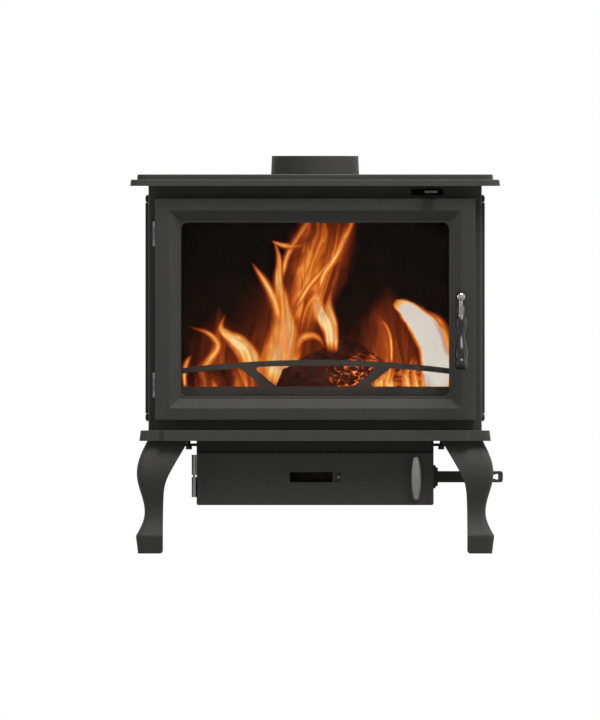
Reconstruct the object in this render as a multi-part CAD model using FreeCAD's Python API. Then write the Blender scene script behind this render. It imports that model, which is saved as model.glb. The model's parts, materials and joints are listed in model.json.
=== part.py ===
import FreeCAD, Part
import math
import os

# Slow combustion stove: cast top, base, door and cabriole legs around a steel firebox, with an ash box below.
# Millimetres. +X is the stove's right seen from the front, +Y is the rear, +Z is up, the floor is Z = 0.

Vector = FreeCAD.Vector
UP = Vector(0, 0, 1)

# Heights, from the floor up
LEG_HEIGHT = 207.0
BASE_THICKNESS = 19.5
BODY_HEIGHT = 449.2
TOP_LOWER_TIER = 11.8
TOP_UPPER_TIER = 9.6
COLLAR_RISE = 34.1

# Fits
SEAT_GAP = 0.3
BOLT_CLEARANCE = 0.2
PIN_CLEARANCE = 0.05

# Firebox body of plate steel
BODY_WIDTH = 612.8
BODY_DEPTH = 384.0
BODY_FRONT = -152.5
FRONT_PLATE = 6.0
WALL_PLATE = 5.0
FRONT_EDGE_RADIUS = 3.5

# Top plate
TOP_SIDE_OVERHANG = 33.6
TOP_FRONT_OVERHANG = 44.0
TOP_REAR_OVERHANG = 18.0
TOP_STEP = 12.0
TOP_DRAFT = 1.5
TOP_CORNER_RADIUS = 18.0
TOP_EDGE_RADIUS = 2.4

# Flue collar
FLUE_BORE_RADIUS = 76.5
COLLAR_WALL = 4.4
COLLAR_DRAFT = 1.4
COLLAR_RIM_RADIUS = 1.2
COLLAR_FLANGE_WIDTH = 18.0
COLLAR_FLANGE_THICKNESS = 6.0
FLUE_FROM_BACK = 130.0
COLLAR_BOLT_COUNT = 4

# Base plate
BASE_SIDE_OVERHANG = 16.8
BASE_FRONT_OVERHANG = 38.0
BASE_REAR_OVERHANG = 8.0
BASE_DRAFT = 2.6
BASE_CORNER_RADIUS = 14.0
BASE_EDGE_RADIUS = 1.6
ASH_LIP_HALF_WIDTH = 278.0
ASH_LIP_PROJECTION = 8.0

# Legs: flare is outward from the lower edge of the base plate, width is inward from it
FOOT_HEIGHT = 33.0
SOLE_FLARE = 2.2
FOOT_FLARE = 6.4
FOOT_WIDTH = 43.0
FOOT_ROUNDING = 8.0
SOLE_ROUNDING = 6.0
ANKLE_HEIGHT = 76.0
ANKLE_INSET = 9.8
KNEE_HEIGHT = 148.0
KNEE_FLARE = 4.6
SHOULDER_INSET = 14.6
BRACE_START = 130.0
BRACE_SLOPE = 0.61
BRACE_BLEND = 18.0
LEG_WALL = 9.0
LEG_CORNER_RADIUS = 12.0
LEG_FLANGE_THICKNESS = 8.0
LEG_FLANGE_REACH = 78.0
LEG_SECTIONS = 13

# Tie rods that clamp the top, the body, the base and the legs together
TIE_ROD_RADIUS = 4.0
TIE_ROD_SIDE_INSET = 18.4
TIE_ROD_FRONT_INSET = 32.0
TIE_ROD_REAR_INSET = 27.0
TIE_ROD_TOP_DEPTH = 8.0
NUT_FLATS = 13.0
NUT_HEIGHT = 6.5
WASHER_RADIUS = 8.0
WASHER_THICKNESS = 1.6

# Side shields with a pressed field
SHIELD_SHEET = 1.5
SHIELD_STANDOFF = 2.2
SHIELD_EMBOSS = 1.8
SHIELD_BORDER = 15.0
SHIELD_FRONT_INSET = 22.0
SHIELD_REAR_INSET = 12.0
SHIELD_TOP_INSET = 15.7
SHIELD_BOTTOM_INSET = 16.3
SHIELD_CORNER_RADIUS = 10.0
SHIELD_SCREW_INSET = 8.0
SHIELD_SCREW_RADIUS = 2.5
SHIELD_SCREW_HEAD_RADIUS = 5.0
SHIELD_SCREW_HEAD = 1.8
SHIELD_SPACER_RADIUS = 7.0

# Rear heat shield
REAR_SHIELD_GAP = 20.0
REAR_SHIELD_SIDE_INSET = 22.0
REAR_SHIELD_RETURN = 12.0
REAR_SHIELD_SPACER_RADIUS = 6.5
REAR_SHIELD_FIXING_INSET = 48.0
LOUVRE_COUNT = 9
LOUVRE_WIDTH = 9.0
LOUVRE_LENGTH = 110.0
LOUVRE_PITCH = 44.0
LOUVRE_END_INSET = 60.0

# Door casting
DOOR_SIDE_REVEAL = 12.0
DOOR_TOP_REVEAL = 22.5
DOOR_BOTTOM_REVEAL = 17.8
DOOR_THICKNESS = 26.0
DOOR_GAP = 3.0
DOOR_CORNER_RADIUS = 3.5
DOOR_EDGE_RADIUS = 2.8
DOOR_STILE = 48.2
DOOR_TOP_RAIL = 45.2
DOOR_BOTTOM_RAIL = 44.8
DOOR_SIDE_BORDER = 26.0
DOOR_RAIL_BORDER = 22.6
BEVEL_DEPTH = 12.0
BEVEL_CORNER_RADIUS = 5.0
BEVEL_EDGE_RADIUS = 2.2
LIP_SIDE = 2.4
LIP_RAIL = 4.6
LIP_THICKNESS = 5.0
LIP_EDGE_RADIUS = 1.6
WINDOW_RADIUS = 11.5

# Door glass, its tape and clips
GLASS_THICKNESS = 4.0
GLASS_OVERLAP = 6.5
GLASS_CORNER_RADIUS = 6.0
GLASS_SIDE_GAP = 1.0
TAPE_THICKNESS = 1.5
TAPE_SETBACK = 1.5
CLIP_THICKNESS = 2.0
CLIP_WIDTH = 22.0
CLIP_LAND = 11.0
CLIP_REACH = 5.0
CLIP_OFFSET_ALONG_RAIL = 150.0
CLIP_OFFSET_ALONG_STILE = 90.0
CLIP_SCREW_RADIUS = 2.0
CLIP_SCREW_DEPTH = 6.0
CLIP_SCREW_HEAD_RADIUS = 3.6
CLIP_SCREW_HEAD = 2.0

# Rope seals
ROPE_RADIUS = 4.3
ROPE_GROOVE_WIDTH = 9.0
ROPE_GROOVE_DEPTH = 6.0
ROPE_INSET = 9.9
ROPE_CORNER_RADIUS = 12.0
SEAL_LAND = 9.0
FRAME_OPENING_RADIUS = 8.0

# Door hinges
HINGE_LENGTH = 45.4
HINGE_END_INSET = 65.5
HINGE_AXIS_OUTSET = 0.1
HINGE_KNUCKLE_RADIUS = 3.6
HINGE_END_KNUCKLE = 11.0
HINGE_PIN_RADIUS = 2.25
HINGE_LEAF_THICKNESS = 2.5
HINGE_LEAF_REACH = 2.0
HINGE_NOTCH_GAP = 0.8

# Door lever and latch
LEVER_FROM_DOOR_EDGE = 26.6
LEVER_FROM_DOOR_TOP = 181.4
LEVER_TILT = 20.0
LEVER_BALL_RADIUS = 9.5
LEVER_NECK_RADIUS = 4.2
LEVER_NECK_END = 18.7
LEVER_COLLAR_CORNER = 6.7
LEVER_COLLAR_END = 36.0
LEVER_BEAD_RADIUS = 5.4
LEVER_BEAD_END = 41.5
LEVER_BEAD_ROUNDING = 1.2
LEVER_STUD_RADIUS = 3.0
LEVER_STUD_END = 108.0
GRIP_RIM_RADIUS = 9.8
GRIP_FLARE_RADIUS = 11.4
GRIP_FLARE_AT = 9.0
GRIP_WAIST_RADIUS = 7.3
GRIP_WAIST_AT = 29.0
GRIP_BELLY_RADIUS = 12.0
GRIP_BELLY_AT = 62.0
GRIP_GROOVE_RADIUS = 10.3
GRIP_GROOVE_AT = 82.5
GRIP_FOOT_RADIUS = 12.0
GRIP_FOOT_AT = 89.0
GRIP_END_RADIUS = 9.2
GRIP_LENGTH = 98.0
SPINDLE_RADIUS = 5.0
SPINDLE_COLLAR_RADIUS = 6.6
SPINDLE_COLLAR = 4.0
SPINDLE_SEAT_RADIUS = 4.0
SPINDLE_THREAD_RADIUS = 3.0
SPINDLE_NUT_FLATS = 10.0
SPINDLE_NUT_HEIGHT = 5.0
BOSS_RADIUS = 8.5
BOSS_RISE = 4.0
BOSS_GAP = 1.0
TONGUE_HALF_WIDTH = 5.2
TONGUE_THICKNESS = 8.0
TONGUE_REACH = 27.0
KEEPER_THICKNESS = 4.0
KEEPER_WIDTH = 19.0
KEEPER_HEIGHT = 36.0
LATCH_GAP = 0.4

# Air slide under the top plate, with its manifold behind the front plate
SLIDE_SLOT_LENGTH = 58.8
SLIDE_SLOT_HEIGHT = 12.3
SLIDE_SLOT_TOP_DROP = 4.7
SLIDE_SLOT_EDGE_INSET = 71.0
SLIDE_SLOT_RADIUS = 2.5
SLIDE_TAB_WIDTH = 24.1
SLIDE_TAB_THICKNESS = 4.2
SLIDE_TAB_END_GAP = 10.8
SLIDE_TAB_REACH = 52.0
SLIDE_TAB_RADIUS = 4.0
SLIDE_PLATE = 3.0
SLIDE_PLATE_LENGTH = 176.0
SLIDE_PLATE_TOP_GAP = 4.0
PORT_COUNT = 3
PORT_WIDTH = 28.0
PORT_HEIGHT = 12.0
PORT_PITCH = 50.0
PORT_RISE = 8.0
PORT_OFFSET = 12.0
SLIDE_GUIDE_HEIGHT = 6.0
MANIFOLD_SHEET = 2.0
MANIFOLD_HEIGHT = 36.0
MANIFOLD_DEPTH = 32.0
MANIFOLD_SIDE_INSET = 30.0
AIRWASH_SLOT = 12.0

# Firebricks and baffle
BRICK_THICKNESS = 28.0
FLOOR_BRICK_THICKNESS = 25.0
BRICK_FRONT_INSET = 45.0
BRICK_TOP_DROP = 85.0
FLOOR_BRICK_FRONT_INSET = 52.0
BAFFLE_THICKNESS = 25.0
BAFFLE_FRONT_INSET = 110.0

# Log fence behind the glass
FENCE_SIDE_INSET = 7.5
FENCE_THICKNESS = 8.0
FENCE_FROM_FRONT = 26.0
FENCE_RAIL_ABOVE_WINDOW = 17.9
FENCE_ARCH_ABOVE_RAIL = 49.2
FENCE_ARCH_THICKNESS = 10.5
FENCE_ARCH_RADIUS = 1974.0
FENCE_UPRIGHT = 15.0
FENCE_STRUT_WIDTH = 26.0
FENCE_STRUT_FOOT = 77.0
FENCE_STRUT_HEAD = 132.0
FENCE_FILLET = 4.0
FENCE_CLIP_LENGTH = 30.0
FENCE_CLIP_SHEET = 3.0
FENCE_CLIP_HEIGHT = 13.0
FENCE_CLIP_OFFSET = 200.0

# Riddling grate in the base plate
GRATE_LENGTH = 240.0
GRATE_WIDTH = 150.0
GRATE_THICKNESS = 14.0
GRATE_FROM_FRONT = 102.5
GRATE_LEDGE_THICKNESS = 6.0
GRATE_LEDGE_WIDTH = 9.0
GRATE_RIM = 12.0
GRATE_SLOT_COUNT = 8
GRATE_SLOT_WIDTH = 13.0
GRATE_SIDE_GAP = 0.6
GRATE_END_GAP = 4.0
RIDDLE_TRAVEL = 30.0

# Riddling bar on the right side, with its arm and guide
BAR_HEIGHT = 20.8
BAR_THICKNESS = 5.0
BAR_BELOW_BASE = 65.7
BAR_END = 345.2
BAR_INNER_END = 58.0
BAR_END_RADIUS = 4.5
PULL_HOLE_RIM = 9.0
PULL_HOLE_LENGTH = 14.0
PULL_HOLE_HEIGHT = 11.0
PULL_HOLE_APEX = 4.0
PULL_HOLE_RADIUS = 1.2
ARM_WIDTH = 26.0
ARM_THICKNESS = 5.0
ARM_OFFSET = 4.0
ARM_SLOT_GAP = 4.0
ARM_BOLT_RADIUS = 3.0
ARM_BOLT_FLATS = 10.0
ARM_BOLT_HEAD = 4.0
GUIDE_PLATE = 3.0
GUIDE_PLATE_HEIGHT = 43.0
GUIDE_PLATE_WIDTH = 40.0
GUIDE_BOSS = 5.0
GUIDE_BOSS_HEIGHT = 34.0
GUIDE_BOSS_WIDTH = 24.0
GUIDE_SCREW_RADIUS = 2.0
GUIDE_SCREW_HEAD_RADIUS = 3.4
GUIDE_SCREW_HEAD = 1.6
GUIDE_SCREW_INSET = 5.0

# Ash box under the base plate
ASH_BOX_SIDE_INSET = 105.4
ASH_BOX_FRONT_SETBACK = 48.0
ASH_BOX_DEPTH = 292.0
ASH_BOX_HEIGHT = 116.0
ASH_BOX_SHEET = 2.0
ASH_BOX_FLANGE = 17.0
ASH_BOX_SILL = 14.0
ASH_BOX_HEADER = 39.0
LUG_LENGTH = 30.0
LUG_REACH = 21.0
LUG_THICKNESS = 5.3
LUG_DROP = 4.3
LUG_FRONT_INSET = 62.0
LUG_REAR_INSET = 50.0
LUG_BOLT_INSET = 6.8
LUG_BOLT_RADIUS = 3.0
LUG_BOLT_FLATS = 10.0
LUG_BOLT_HEAD = 6.0
LUG_BOLT_DEPTH = 12.0

# Ash pan and runners
RUNNER_HEIGHT = 12.5
RUNNER_WIDTH = 18.0
RUNNER_SIDE_GAP = 40.0
PAN_SHEET = 1.5
PAN_SIDE_GAP = 10.0
PAN_FRONT_GAP = 22.0
PAN_REAR_GAP = 7.0
PAN_HEIGHT = 44.0
PAN_PULL_WIDTH = 70.0
PAN_PULL_REACH = 7.0
PAN_PULL_HEIGHT = 16.0

# Ash door
ASH_DOOR_EDGE_GAP = 0.4
ASH_DOOR_TOP_DROP = 21.9
ASH_DOOR_HEIGHT = 96.0
ASH_DOOR_GAP = 1.5
ASH_DOOR_SHEET = 3.0
ASH_DOOR_CORNER_RADIUS = 3.0
ASH_DOOR_EDGE_RADIUS = 1.4
ASH_SEAL_INSET = 8.6
ASH_SEAL_CORNER_RADIUS = 10.0
ASH_KNUCKLE_RADIUS = 4.6
ASH_KNUCKLE_LENGTH = 37.2
ASH_KNUCKLE_SPLIT = 3.6
ASH_KNUCKLE_TOP_INSET = 3.4
ASH_HINGE_PIN_RADIUS = 2.2
ASH_LEAF_THICKNESS = 2.5
ASH_LEAF_LENGTH = 38.0

# Air slot and shutter in the ash door
AIR_SLOT_LENGTH = 94.0
AIR_SLOT_HEIGHT = 18.4
AIR_SLOT_CENTRE = 0.5
AIR_SLOT_DROP = 44.6
AIR_SLOT_RADIUS = 1.5
SHUTTER_SHEET = 2.5
SHUTTER_SHOWING = 15.5
SHUTTER_OVERLAP = 4.0
SHUTTER_BUTTON_RADIUS = 4.7
SHUTTER_BUTTON = 5.0
SHUTTER_BUTTON_INSET = 11.3
SHUTTER_STEM_RADIUS = 2.5
SHUTTER_SHOULDER_RADIUS = 3.5
SHUTTER_RAIL_LIP = 2.0
SHUTTER_RAIL_HEIGHT = 6.0
SHUTTER_LIP_OVERLAP = 2.5

# Ash door knob and latch
KNOB_FROM_EDGE = 32.0
KNOB_DROP = 46.3
KNOB_HEIGHT = 81.4
KNOB_RADIUS = 9.8
KNOB_END_RADIUS = 5.0
KNOB_END_RISE = 2.2
KNOB_STANDOFF = 20.0
KNOB_ROSE_RADIUS = 8.5
KNOB_ROSE = 3.0
KNOB_SPINDLE_RADIUS = 4.0
KNOB_THREAD_RADIUS = 2.5
KNOB_SHOULDER_RADIUS = 6.0
ASH_TONGUE_HALF_WIDTH = 5.0
ASH_TONGUE_THICKNESS = 5.0
ASH_TONGUE_REACH = 24.0
ASH_NUT_FLATS = 8.0
ASH_NUT_HEIGHT = 4.0

# Levels and planes that follow from the sizes above
BASE_TOP = LEG_HEIGHT + BASE_THICKNESS
BODY_TOP = BASE_TOP + BODY_HEIGHT
TIER_TOP = BODY_TOP + TOP_LOWER_TIER
TOP_FACE = TIER_TOP + TOP_UPPER_TIER
COLLAR_TOP = TOP_FACE + COLLAR_RISE
BODY_HALF = BODY_WIDTH / 2
BODY_BACK = BODY_FRONT + BODY_DEPTH
FRONT_INNER = BODY_FRONT + FRONT_PLATE
WALL_INNER = BODY_HALF - WALL_PLATE
BACK_INNER = BODY_BACK - WALL_PLATE
FLUE_Y = BODY_BACK - FLUE_FROM_BACK
COLLAR_BASE_RADIUS = FLUE_BORE_RADIUS + COLLAR_WALL

BASE_HALF = BODY_HALF + BASE_SIDE_OVERHANG
BASE_FRONT = BODY_FRONT - BASE_FRONT_OVERHANG
BASE_BACK = BODY_BACK + BASE_REAR_OVERHANG

TIE_X = BODY_HALF - TIE_ROD_SIDE_INSET
TIE_FRONT = BODY_FRONT + TIE_ROD_FRONT_INSET
TIE_REAR = BODY_BACK - TIE_ROD_REAR_INSET

DOOR_HALF = BODY_HALF - DOOR_SIDE_REVEAL
DOOR_BOTTOM = BASE_TOP + DOOR_BOTTOM_REVEAL
DOOR_TOP = BODY_TOP - DOOR_TOP_REVEAL
DOOR_REAR = BODY_FRONT - DOOR_GAP
DOOR_FRONT = DOOR_REAR - DOOR_THICKNESS
WINDOW_HALF = DOOR_HALF - DOOR_STILE
WINDOW_BOTTOM = DOOR_BOTTOM + DOOR_BOTTOM_RAIL
WINDOW_TOP = DOOR_TOP - DOOR_TOP_RAIL
WINDOW_MIDDLE = (WINDOW_BOTTOM + WINDOW_TOP) / 2
LIP_FRONT = DOOR_FRONT + BEVEL_DEPTH
LIP_REAR = LIP_FRONT + LIP_THICKNESS
GLASS_FRONT = LIP_REAR + TAPE_THICKNESS
GLASS_REAR = GLASS_FRONT + GLASS_THICKNESS
ROPE_HALF = DOOR_HALF - ROPE_INSET
ROPE_LOW = DOOR_BOTTOM + ROPE_INSET
ROPE_HIGH = DOOR_TOP - ROPE_INSET
OPENING_HALF = ROPE_HALF - SEAL_LAND
OPENING_LOW = ROPE_LOW + SEAL_LAND
OPENING_HIGH = ROPE_HIGH - SEAL_LAND

HINGE_X = -(DOOR_HALF + HINGE_AXIS_OUTSET)
HINGE_Y = (DOOR_FRONT + DOOR_REAR) / 2
HINGE_CENTRES = (DOOR_BOTTOM + HINGE_END_INSET, DOOR_TOP - HINGE_END_INSET)

LEVER_X = DOOR_HALF - LEVER_FROM_DOOR_EDGE
LEVER_Z = DOOR_TOP - LEVER_FROM_DOOR_TOP
LEVER_Y = DOOR_FRONT - BOSS_RISE - BOSS_GAP - LEVER_BALL_RADIUS
LEVER_CENTRE = Vector(LEVER_X, LEVER_Y, LEVER_Z)
TONGUE_FRONT = FRONT_INNER + KEEPER_THICKNESS + LATCH_GAP
TONGUE_REAR = TONGUE_FRONT + TONGUE_THICKNESS

SLOT_RIGHT = BODY_HALF - SLIDE_SLOT_EDGE_INSET
SLOT_TOP = BODY_TOP - SLIDE_SLOT_TOP_DROP
SLOT_MIDDLE = SLOT_TOP - SLIDE_SLOT_HEIGHT / 2
TAB_RIGHT = SLOT_RIGHT - SLIDE_TAB_END_GAP
MANIFOLD_HALF = WALL_INNER - MANIFOLD_SIDE_INSET
MANIFOLD_BOTTOM = BODY_TOP - MANIFOLD_HEIGHT
MANIFOLD_WALL = FRONT_INNER + MANIFOLD_DEPTH
SLIDE_REAR = MANIFOLD_WALL - SEAT_GAP
SLIDE_FRONT = SLIDE_REAR - SLIDE_PLATE
SLIDE_BOTTOM = MANIFOLD_BOTTOM + MANIFOLD_SHEET + SEAT_GAP
SLIDE_TOP = BODY_TOP - SLIDE_PLATE_TOP_GAP
SLIDE_RIGHT = TAB_RIGHT + SLIDE_TAB_WIDTH

BRICK_INNER = WALL_INNER - SEAT_GAP - BRICK_THICKNESS
BRICK_FRONT = BODY_FRONT + BRICK_FRONT_INSET
BRICK_REAR = TIE_REAR - TIE_ROD_RADIUS - 2 * SEAT_GAP - WASHER_THICKNESS
BRICK_TOP = BODY_TOP - BRICK_TOP_DROP
REAR_BRICK_FRONT = BACK_INNER - SEAT_GAP - BRICK_THICKNESS
FLOOR_FRONT = BODY_FRONT + FLOOR_BRICK_FRONT_INSET

FENCE_HALF = OPENING_HALF - FENCE_SIDE_INSET
FENCE_FRONT = BODY_FRONT + FENCE_FROM_FRONT
FENCE_REAR = FENCE_FRONT + FENCE_THICKNESS
FENCE_RAIL_TOP = WINDOW_BOTTOM + FENCE_RAIL_ABOVE_WINDOW
FENCE_ARCH_TOP = FENCE_RAIL_TOP + FENCE_ARCH_ABOVE_RAIL

GRATE_HALF = GRATE_LENGTH / 2
GRATE_FRONT = BODY_FRONT + GRATE_FROM_FRONT
GRATE_BACK = GRATE_FRONT + GRATE_WIDTH
GRATE_SEAT = LEG_HEIGHT + GRATE_LEDGE_THICKNESS
GRATE_BOTTOM = GRATE_SEAT + SEAT_GAP
GRATE_TOP = GRATE_BOTTOM + GRATE_THICKNESS
WELL_LEFT = -GRATE_HALF - GRATE_END_GAP
WELL_RIGHT = GRATE_HALF + RIDDLE_TRAVEL + GRATE_END_GAP
WELL_FRONT = GRATE_FRONT - GRATE_SIDE_GAP
WELL_BACK = GRATE_BACK + GRATE_SIDE_GAP

BOX_HALF = BASE_HALF - ASH_BOX_SIDE_INSET
BOX_FRONT = BASE_FRONT + ASH_BOX_FRONT_SETBACK
BOX_BACK = BOX_FRONT + ASH_BOX_DEPTH
BOX_BOTTOM = LEG_HEIGHT - ASH_BOX_HEIGHT
BOX_MOUTH_HALF = BOX_HALF - ASH_BOX_FLANGE
BOX_MOUTH_LOW = BOX_BOTTOM + ASH_BOX_SILL
BOX_MOUTH_HIGH = LEG_HEIGHT - ASH_BOX_HEADER
LUG_TOP = LEG_HEIGHT - LUG_DROP
LUG_BOLT_X = BOX_HALF + LUG_REACH - LUG_BOLT_INSET
LUG_PLACES = (BOX_FRONT + LUG_FRONT_INSET, BOX_BACK - LUG_REAR_INSET)

BAR_Z = LEG_HEIGHT - BAR_BELOW_BASE
ARM_FRONT = GRATE_BACK + GRATE_RIM
ARM_REAR = ARM_FRONT + ARM_THICKNESS
BAR_FRONT = ARM_REAR
BAR_Y = BAR_FRONT + BAR_THICKNESS / 2
ARM_LEFT = BAR_INNER_END + ARM_OFFSET
ARM_RIGHT = ARM_LEFT + ARM_WIDTH
ARM_MIDDLE = (ARM_LEFT + ARM_RIGHT) / 2
ARM_GRATE_BOLT_Z = GRATE_BOTTOM + GRATE_THICKNESS / 2
ARM_SLOT_BACK = ARM_REAR + ARM_BOLT_HEAD + ARM_SLOT_GAP

PAN_HALF = BOX_MOUTH_HALF - PAN_SIDE_GAP
PAN_BOTTOM = BOX_BOTTOM + ASH_BOX_SHEET + RUNNER_HEIGHT + SEAT_GAP
PAN_FRONT = BOX_FRONT + PAN_FRONT_GAP
PAN_BACK = ARM_FRONT - ARM_BOLT_HEAD - PAN_REAR_GAP

ASH_DOOR_HALF = BOX_HALF - ASH_DOOR_EDGE_GAP
ASH_DOOR_TOP = LEG_HEIGHT - ASH_DOOR_TOP_DROP
ASH_DOOR_BOTTOM = ASH_DOOR_TOP - ASH_DOOR_HEIGHT
ASH_DOOR_REAR = BOX_FRONT - ASH_DOOR_GAP
ASH_SHEET_REAR = BOX_FRONT - SEAT_GAP - 2 * ROPE_RADIUS - PIN_CLEARANCE
ASH_DOOR_FRONT = ASH_SHEET_REAR - ASH_DOOR_SHEET
ASH_HINGE_X = -(BOX_HALF + ASH_KNUCKLE_RADIUS)
ASH_HINGE_Y = (ASH_DOOR_FRONT + ASH_DOOR_REAR) / 2
ASH_KNUCKLE_TOP = ASH_DOOR_TOP - ASH_KNUCKLE_TOP_INSET
ASH_KNUCKLE_MIDDLE = ASH_KNUCKLE_TOP - ASH_KNUCKLE_LENGTH
ASH_KNUCKLE_LOWER_TOP = ASH_KNUCKLE_MIDDLE - ASH_KNUCKLE_SPLIT
ASH_KNUCKLE_LOWER_BOTTOM = ASH_KNUCKLE_LOWER_TOP - ASH_KNUCKLE_LENGTH

AIR_SLOT_LEFT = AIR_SLOT_CENTRE - AIR_SLOT_LENGTH / 2
AIR_SLOT_RIGHT = AIR_SLOT_CENTRE + AIR_SLOT_LENGTH / 2
AIR_SLOT_Z = ASH_DOOR_TOP - AIR_SLOT_DROP
SHUTTER_LEFT = AIR_SLOT_RIGHT - SHUTTER_SHOWING
SHUTTER_TRAVEL = SHUTTER_LEFT - AIR_SLOT_LEFT + SHUTTER_OVERLAP
SHUTTER_RIGHT = AIR_SLOT_RIGHT + SHUTTER_TRAVEL + SHUTTER_OVERLAP
SHUTTER_LOW = AIR_SLOT_Z - AIR_SLOT_HEIGHT / 2 - SHUTTER_OVERLAP
SHUTTER_HIGH = AIR_SLOT_Z + AIR_SLOT_HEIGHT / 2 + SHUTTER_OVERLAP
SHUTTER_FRONT = ASH_SHEET_REAR + SEAT_GAP
SHUTTER_REAR = SHUTTER_FRONT + SHUTTER_SHEET
SHUTTER_BUTTON_X = SHUTTER_LEFT + SHUTTER_BUTTON_INSET

KNOB_X = ASH_DOOR_HALF - KNOB_FROM_EDGE
KNOB_Z = ASH_DOOR_TOP - KNOB_DROP
KNOB_Y = ASH_DOOR_FRONT - KNOB_STANDOFF
ASH_TONGUE_FRONT = BOX_FRONT + ASH_BOX_SHEET + LATCH_GAP
ASH_TONGUE_REAR = ASH_TONGUE_FRONT + ASH_TONGUE_THICKNESS


# Shared shapes

def block(x, y, z):
    """Box between a low and a high value along each axis."""
    return Part.makeBox(x[1] - x[0], y[1] - y[0], z[1] - z[0], Vector(x[0], y[0], z[0]))


def bar(start, end, radius):
    """Round bar between two points."""
    start = Vector(*start)
    run = Vector(*end) - start
    return Part.makeCylinder(radius, run.Length, start, run)


def at_x(x):
    """Plane across X: gives the point for a (y, z) pair."""
    return lambda y, z: Vector(x, y, z)


def at_y(y):
    """Plane across Y: gives the point for an (x, z) pair."""
    return lambda x, z: Vector(x, y, z)


def at_z(z):
    """Plane across Z: gives the point for an (x, y) pair."""
    return lambda x, y: Vector(x, y, z)


def rounded_wire(u, v, radius, plane):
    """Closed rectangle with rounded corners on a plane."""
    corners = (
        (u[1] - radius, v[0] + radius, -90),
        (u[1] - radius, v[1] - radius, 0),
        (u[0] + radius, v[1] - radius, 90),
        (u[0] + radius, v[0] + radius, 180),
    )
    arcs = []
    for centre_u, centre_v, start in corners:
        points = []
        for angle in (start, start + 45, start + 90):
            turn = math.radians(angle)
            points.append(plane(centre_u + radius * math.cos(turn), centre_v + radius * math.sin(turn)))
        arcs.append(points)
    edges = []
    for index, points in enumerate(arcs):
        following = arcs[(index + 1) % len(arcs)]
        edges.append(Part.Arc(*points).toShape())
        edges.append(Part.LineSegment(points[2], following[0]).toShape())
    return Part.Wire(edges)


def polygon_wire(points):
    """Closed wire through points."""
    return Part.makePolygon(list(points) + [points[0]])


def prism(wire, run):
    """Solid swept by a flat closed wire along a vector."""
    return Part.Face(wire).extrude(run)


def rounded_plate_y(x, z, radius, y):
    """Upright plate facing the front, with rounded corners."""
    return prism(rounded_wire(x, z, radius, at_y(y[0])), Vector(0, y[1] - y[0], 0))


def rounded_plate_x(y, z, radius, x):
    """Upright plate facing the side, with rounded corners."""
    return prism(rounded_wire(y, z, radius, at_x(x[0])), Vector(x[1] - x[0], 0, 0))


def edges_in_plane(shape, axis, value):
    """Edges that lie in the plane where the axis has the value."""
    found = []
    for edge in shape.Edges:
        low = getattr(edge.BoundBox, axis + "Min")
        high = getattr(edge.BoundBox, axis + "Max")
        if abs(low - value) < 0.01 and abs(high - value) < 0.01:
            found.append(edge)
    return found


def edges_along(shape, axis, length):
    """Straight edges of a length along an axis."""
    found = []
    for edge in shape.Edges:
        size = getattr(edge.BoundBox, axis + "Length")
        if abs(size - length) < 0.01 and abs(edge.Length - length) < 0.01:
            found.append(edge)
    return found


def aimed(shape, origin, direction):
    """Moves a shape built upwards from the origin to another origin and direction."""
    moved = shape.copy()
    moved.Placement = FreeCAD.Placement(Vector(*origin), FreeCAD.Rotation(UP, Vector(*direction)))
    return moved


def hexagon(flats, height, level=0.0):
    """Hexagon prism that stands upwards with two corners along X."""
    corner = flats / math.sqrt(3)
    points = []
    for index in range(6):
        turn = math.radians(60 * index)
        points.append(Vector(corner * math.cos(turn), corner * math.sin(turn), level))
    return prism(polygon_wire(points), Vector(0, 0, height))


def hexagon_nut(flats, height, bore):
    """Hexagon nut that stands upwards."""
    return hexagon(flats, height).cut(Part.makeCylinder(bore, height))


def hexagon_bolt(radius, length, flats, head):
    """Bolt whose shank points upwards from the underside of its head."""
    return hexagon(flats, head, -head).fuse(Part.makeCylinder(radius, length)).removeSplitter()


def dome_screw(radius, length, head_radius, head):
    """Screw whose shank points upwards from under a rounded head."""
    cap = Part.makeCylinder(head_radius, head, Vector(0, 0, -head))
    cap = cap.makeFillet(head * 0.8, edges_in_plane(cap, "Z", -head))
    return cap.fuse(Part.makeCylinder(radius, length)).removeSplitter()


def revolved(edges):
    """Solid of revolution about Z from a closed outline in the XZ plane."""
    return Part.Face(Part.Wire(edges)).revolve(Vector(0, 0, 0), UP, 360)


def outline_edges(points):
    """Straight edges from point to point, given as (radius, height)."""
    places = [Vector(radius, 0, height) for radius, height in points]
    return [Part.LineSegment(a, b).toShape() for a, b in zip(places, places[1:])]


def rope_ring(x, z, corner, y):
    """Round rope that runs round a rounded rectangle."""
    path = rounded_wire(x, z, corner, at_y(y))
    middle = (z[0] + z[1]) / 2
    section = Part.Wire(Part.makeCircle(ROPE_RADIUS, Vector(x[1], y, middle), UP))
    start = Part.Wire(sorted_from(path, Vector(x[1], y, middle)))
    return start.makePipeShell([section], True, False)


def sorted_from(path, start):
    """Edges of a closed path, opened at a point on one of its straight edges."""
    edges = path.OrderedEdges
    split = None
    for index, edge in enumerate(edges):
        if edge.distToShape(Part.Vertex(start))[0] < 1e-6:
            split = index
    first, last = edges[split].Vertexes[0].Point, edges[split].Vertexes[-1].Point
    following = edges[(split + 1) % len(edges)]
    if following.distToShape(Part.Vertex(first))[0] < 1e-6:
        first, last = last, first
    ordered = [Part.LineSegment(start, last).toShape()]
    ordered += edges[split + 1:] + edges[:split]
    ordered.append(Part.LineSegment(first, start).toShape())
    return ordered


# Top plate and flue

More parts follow.
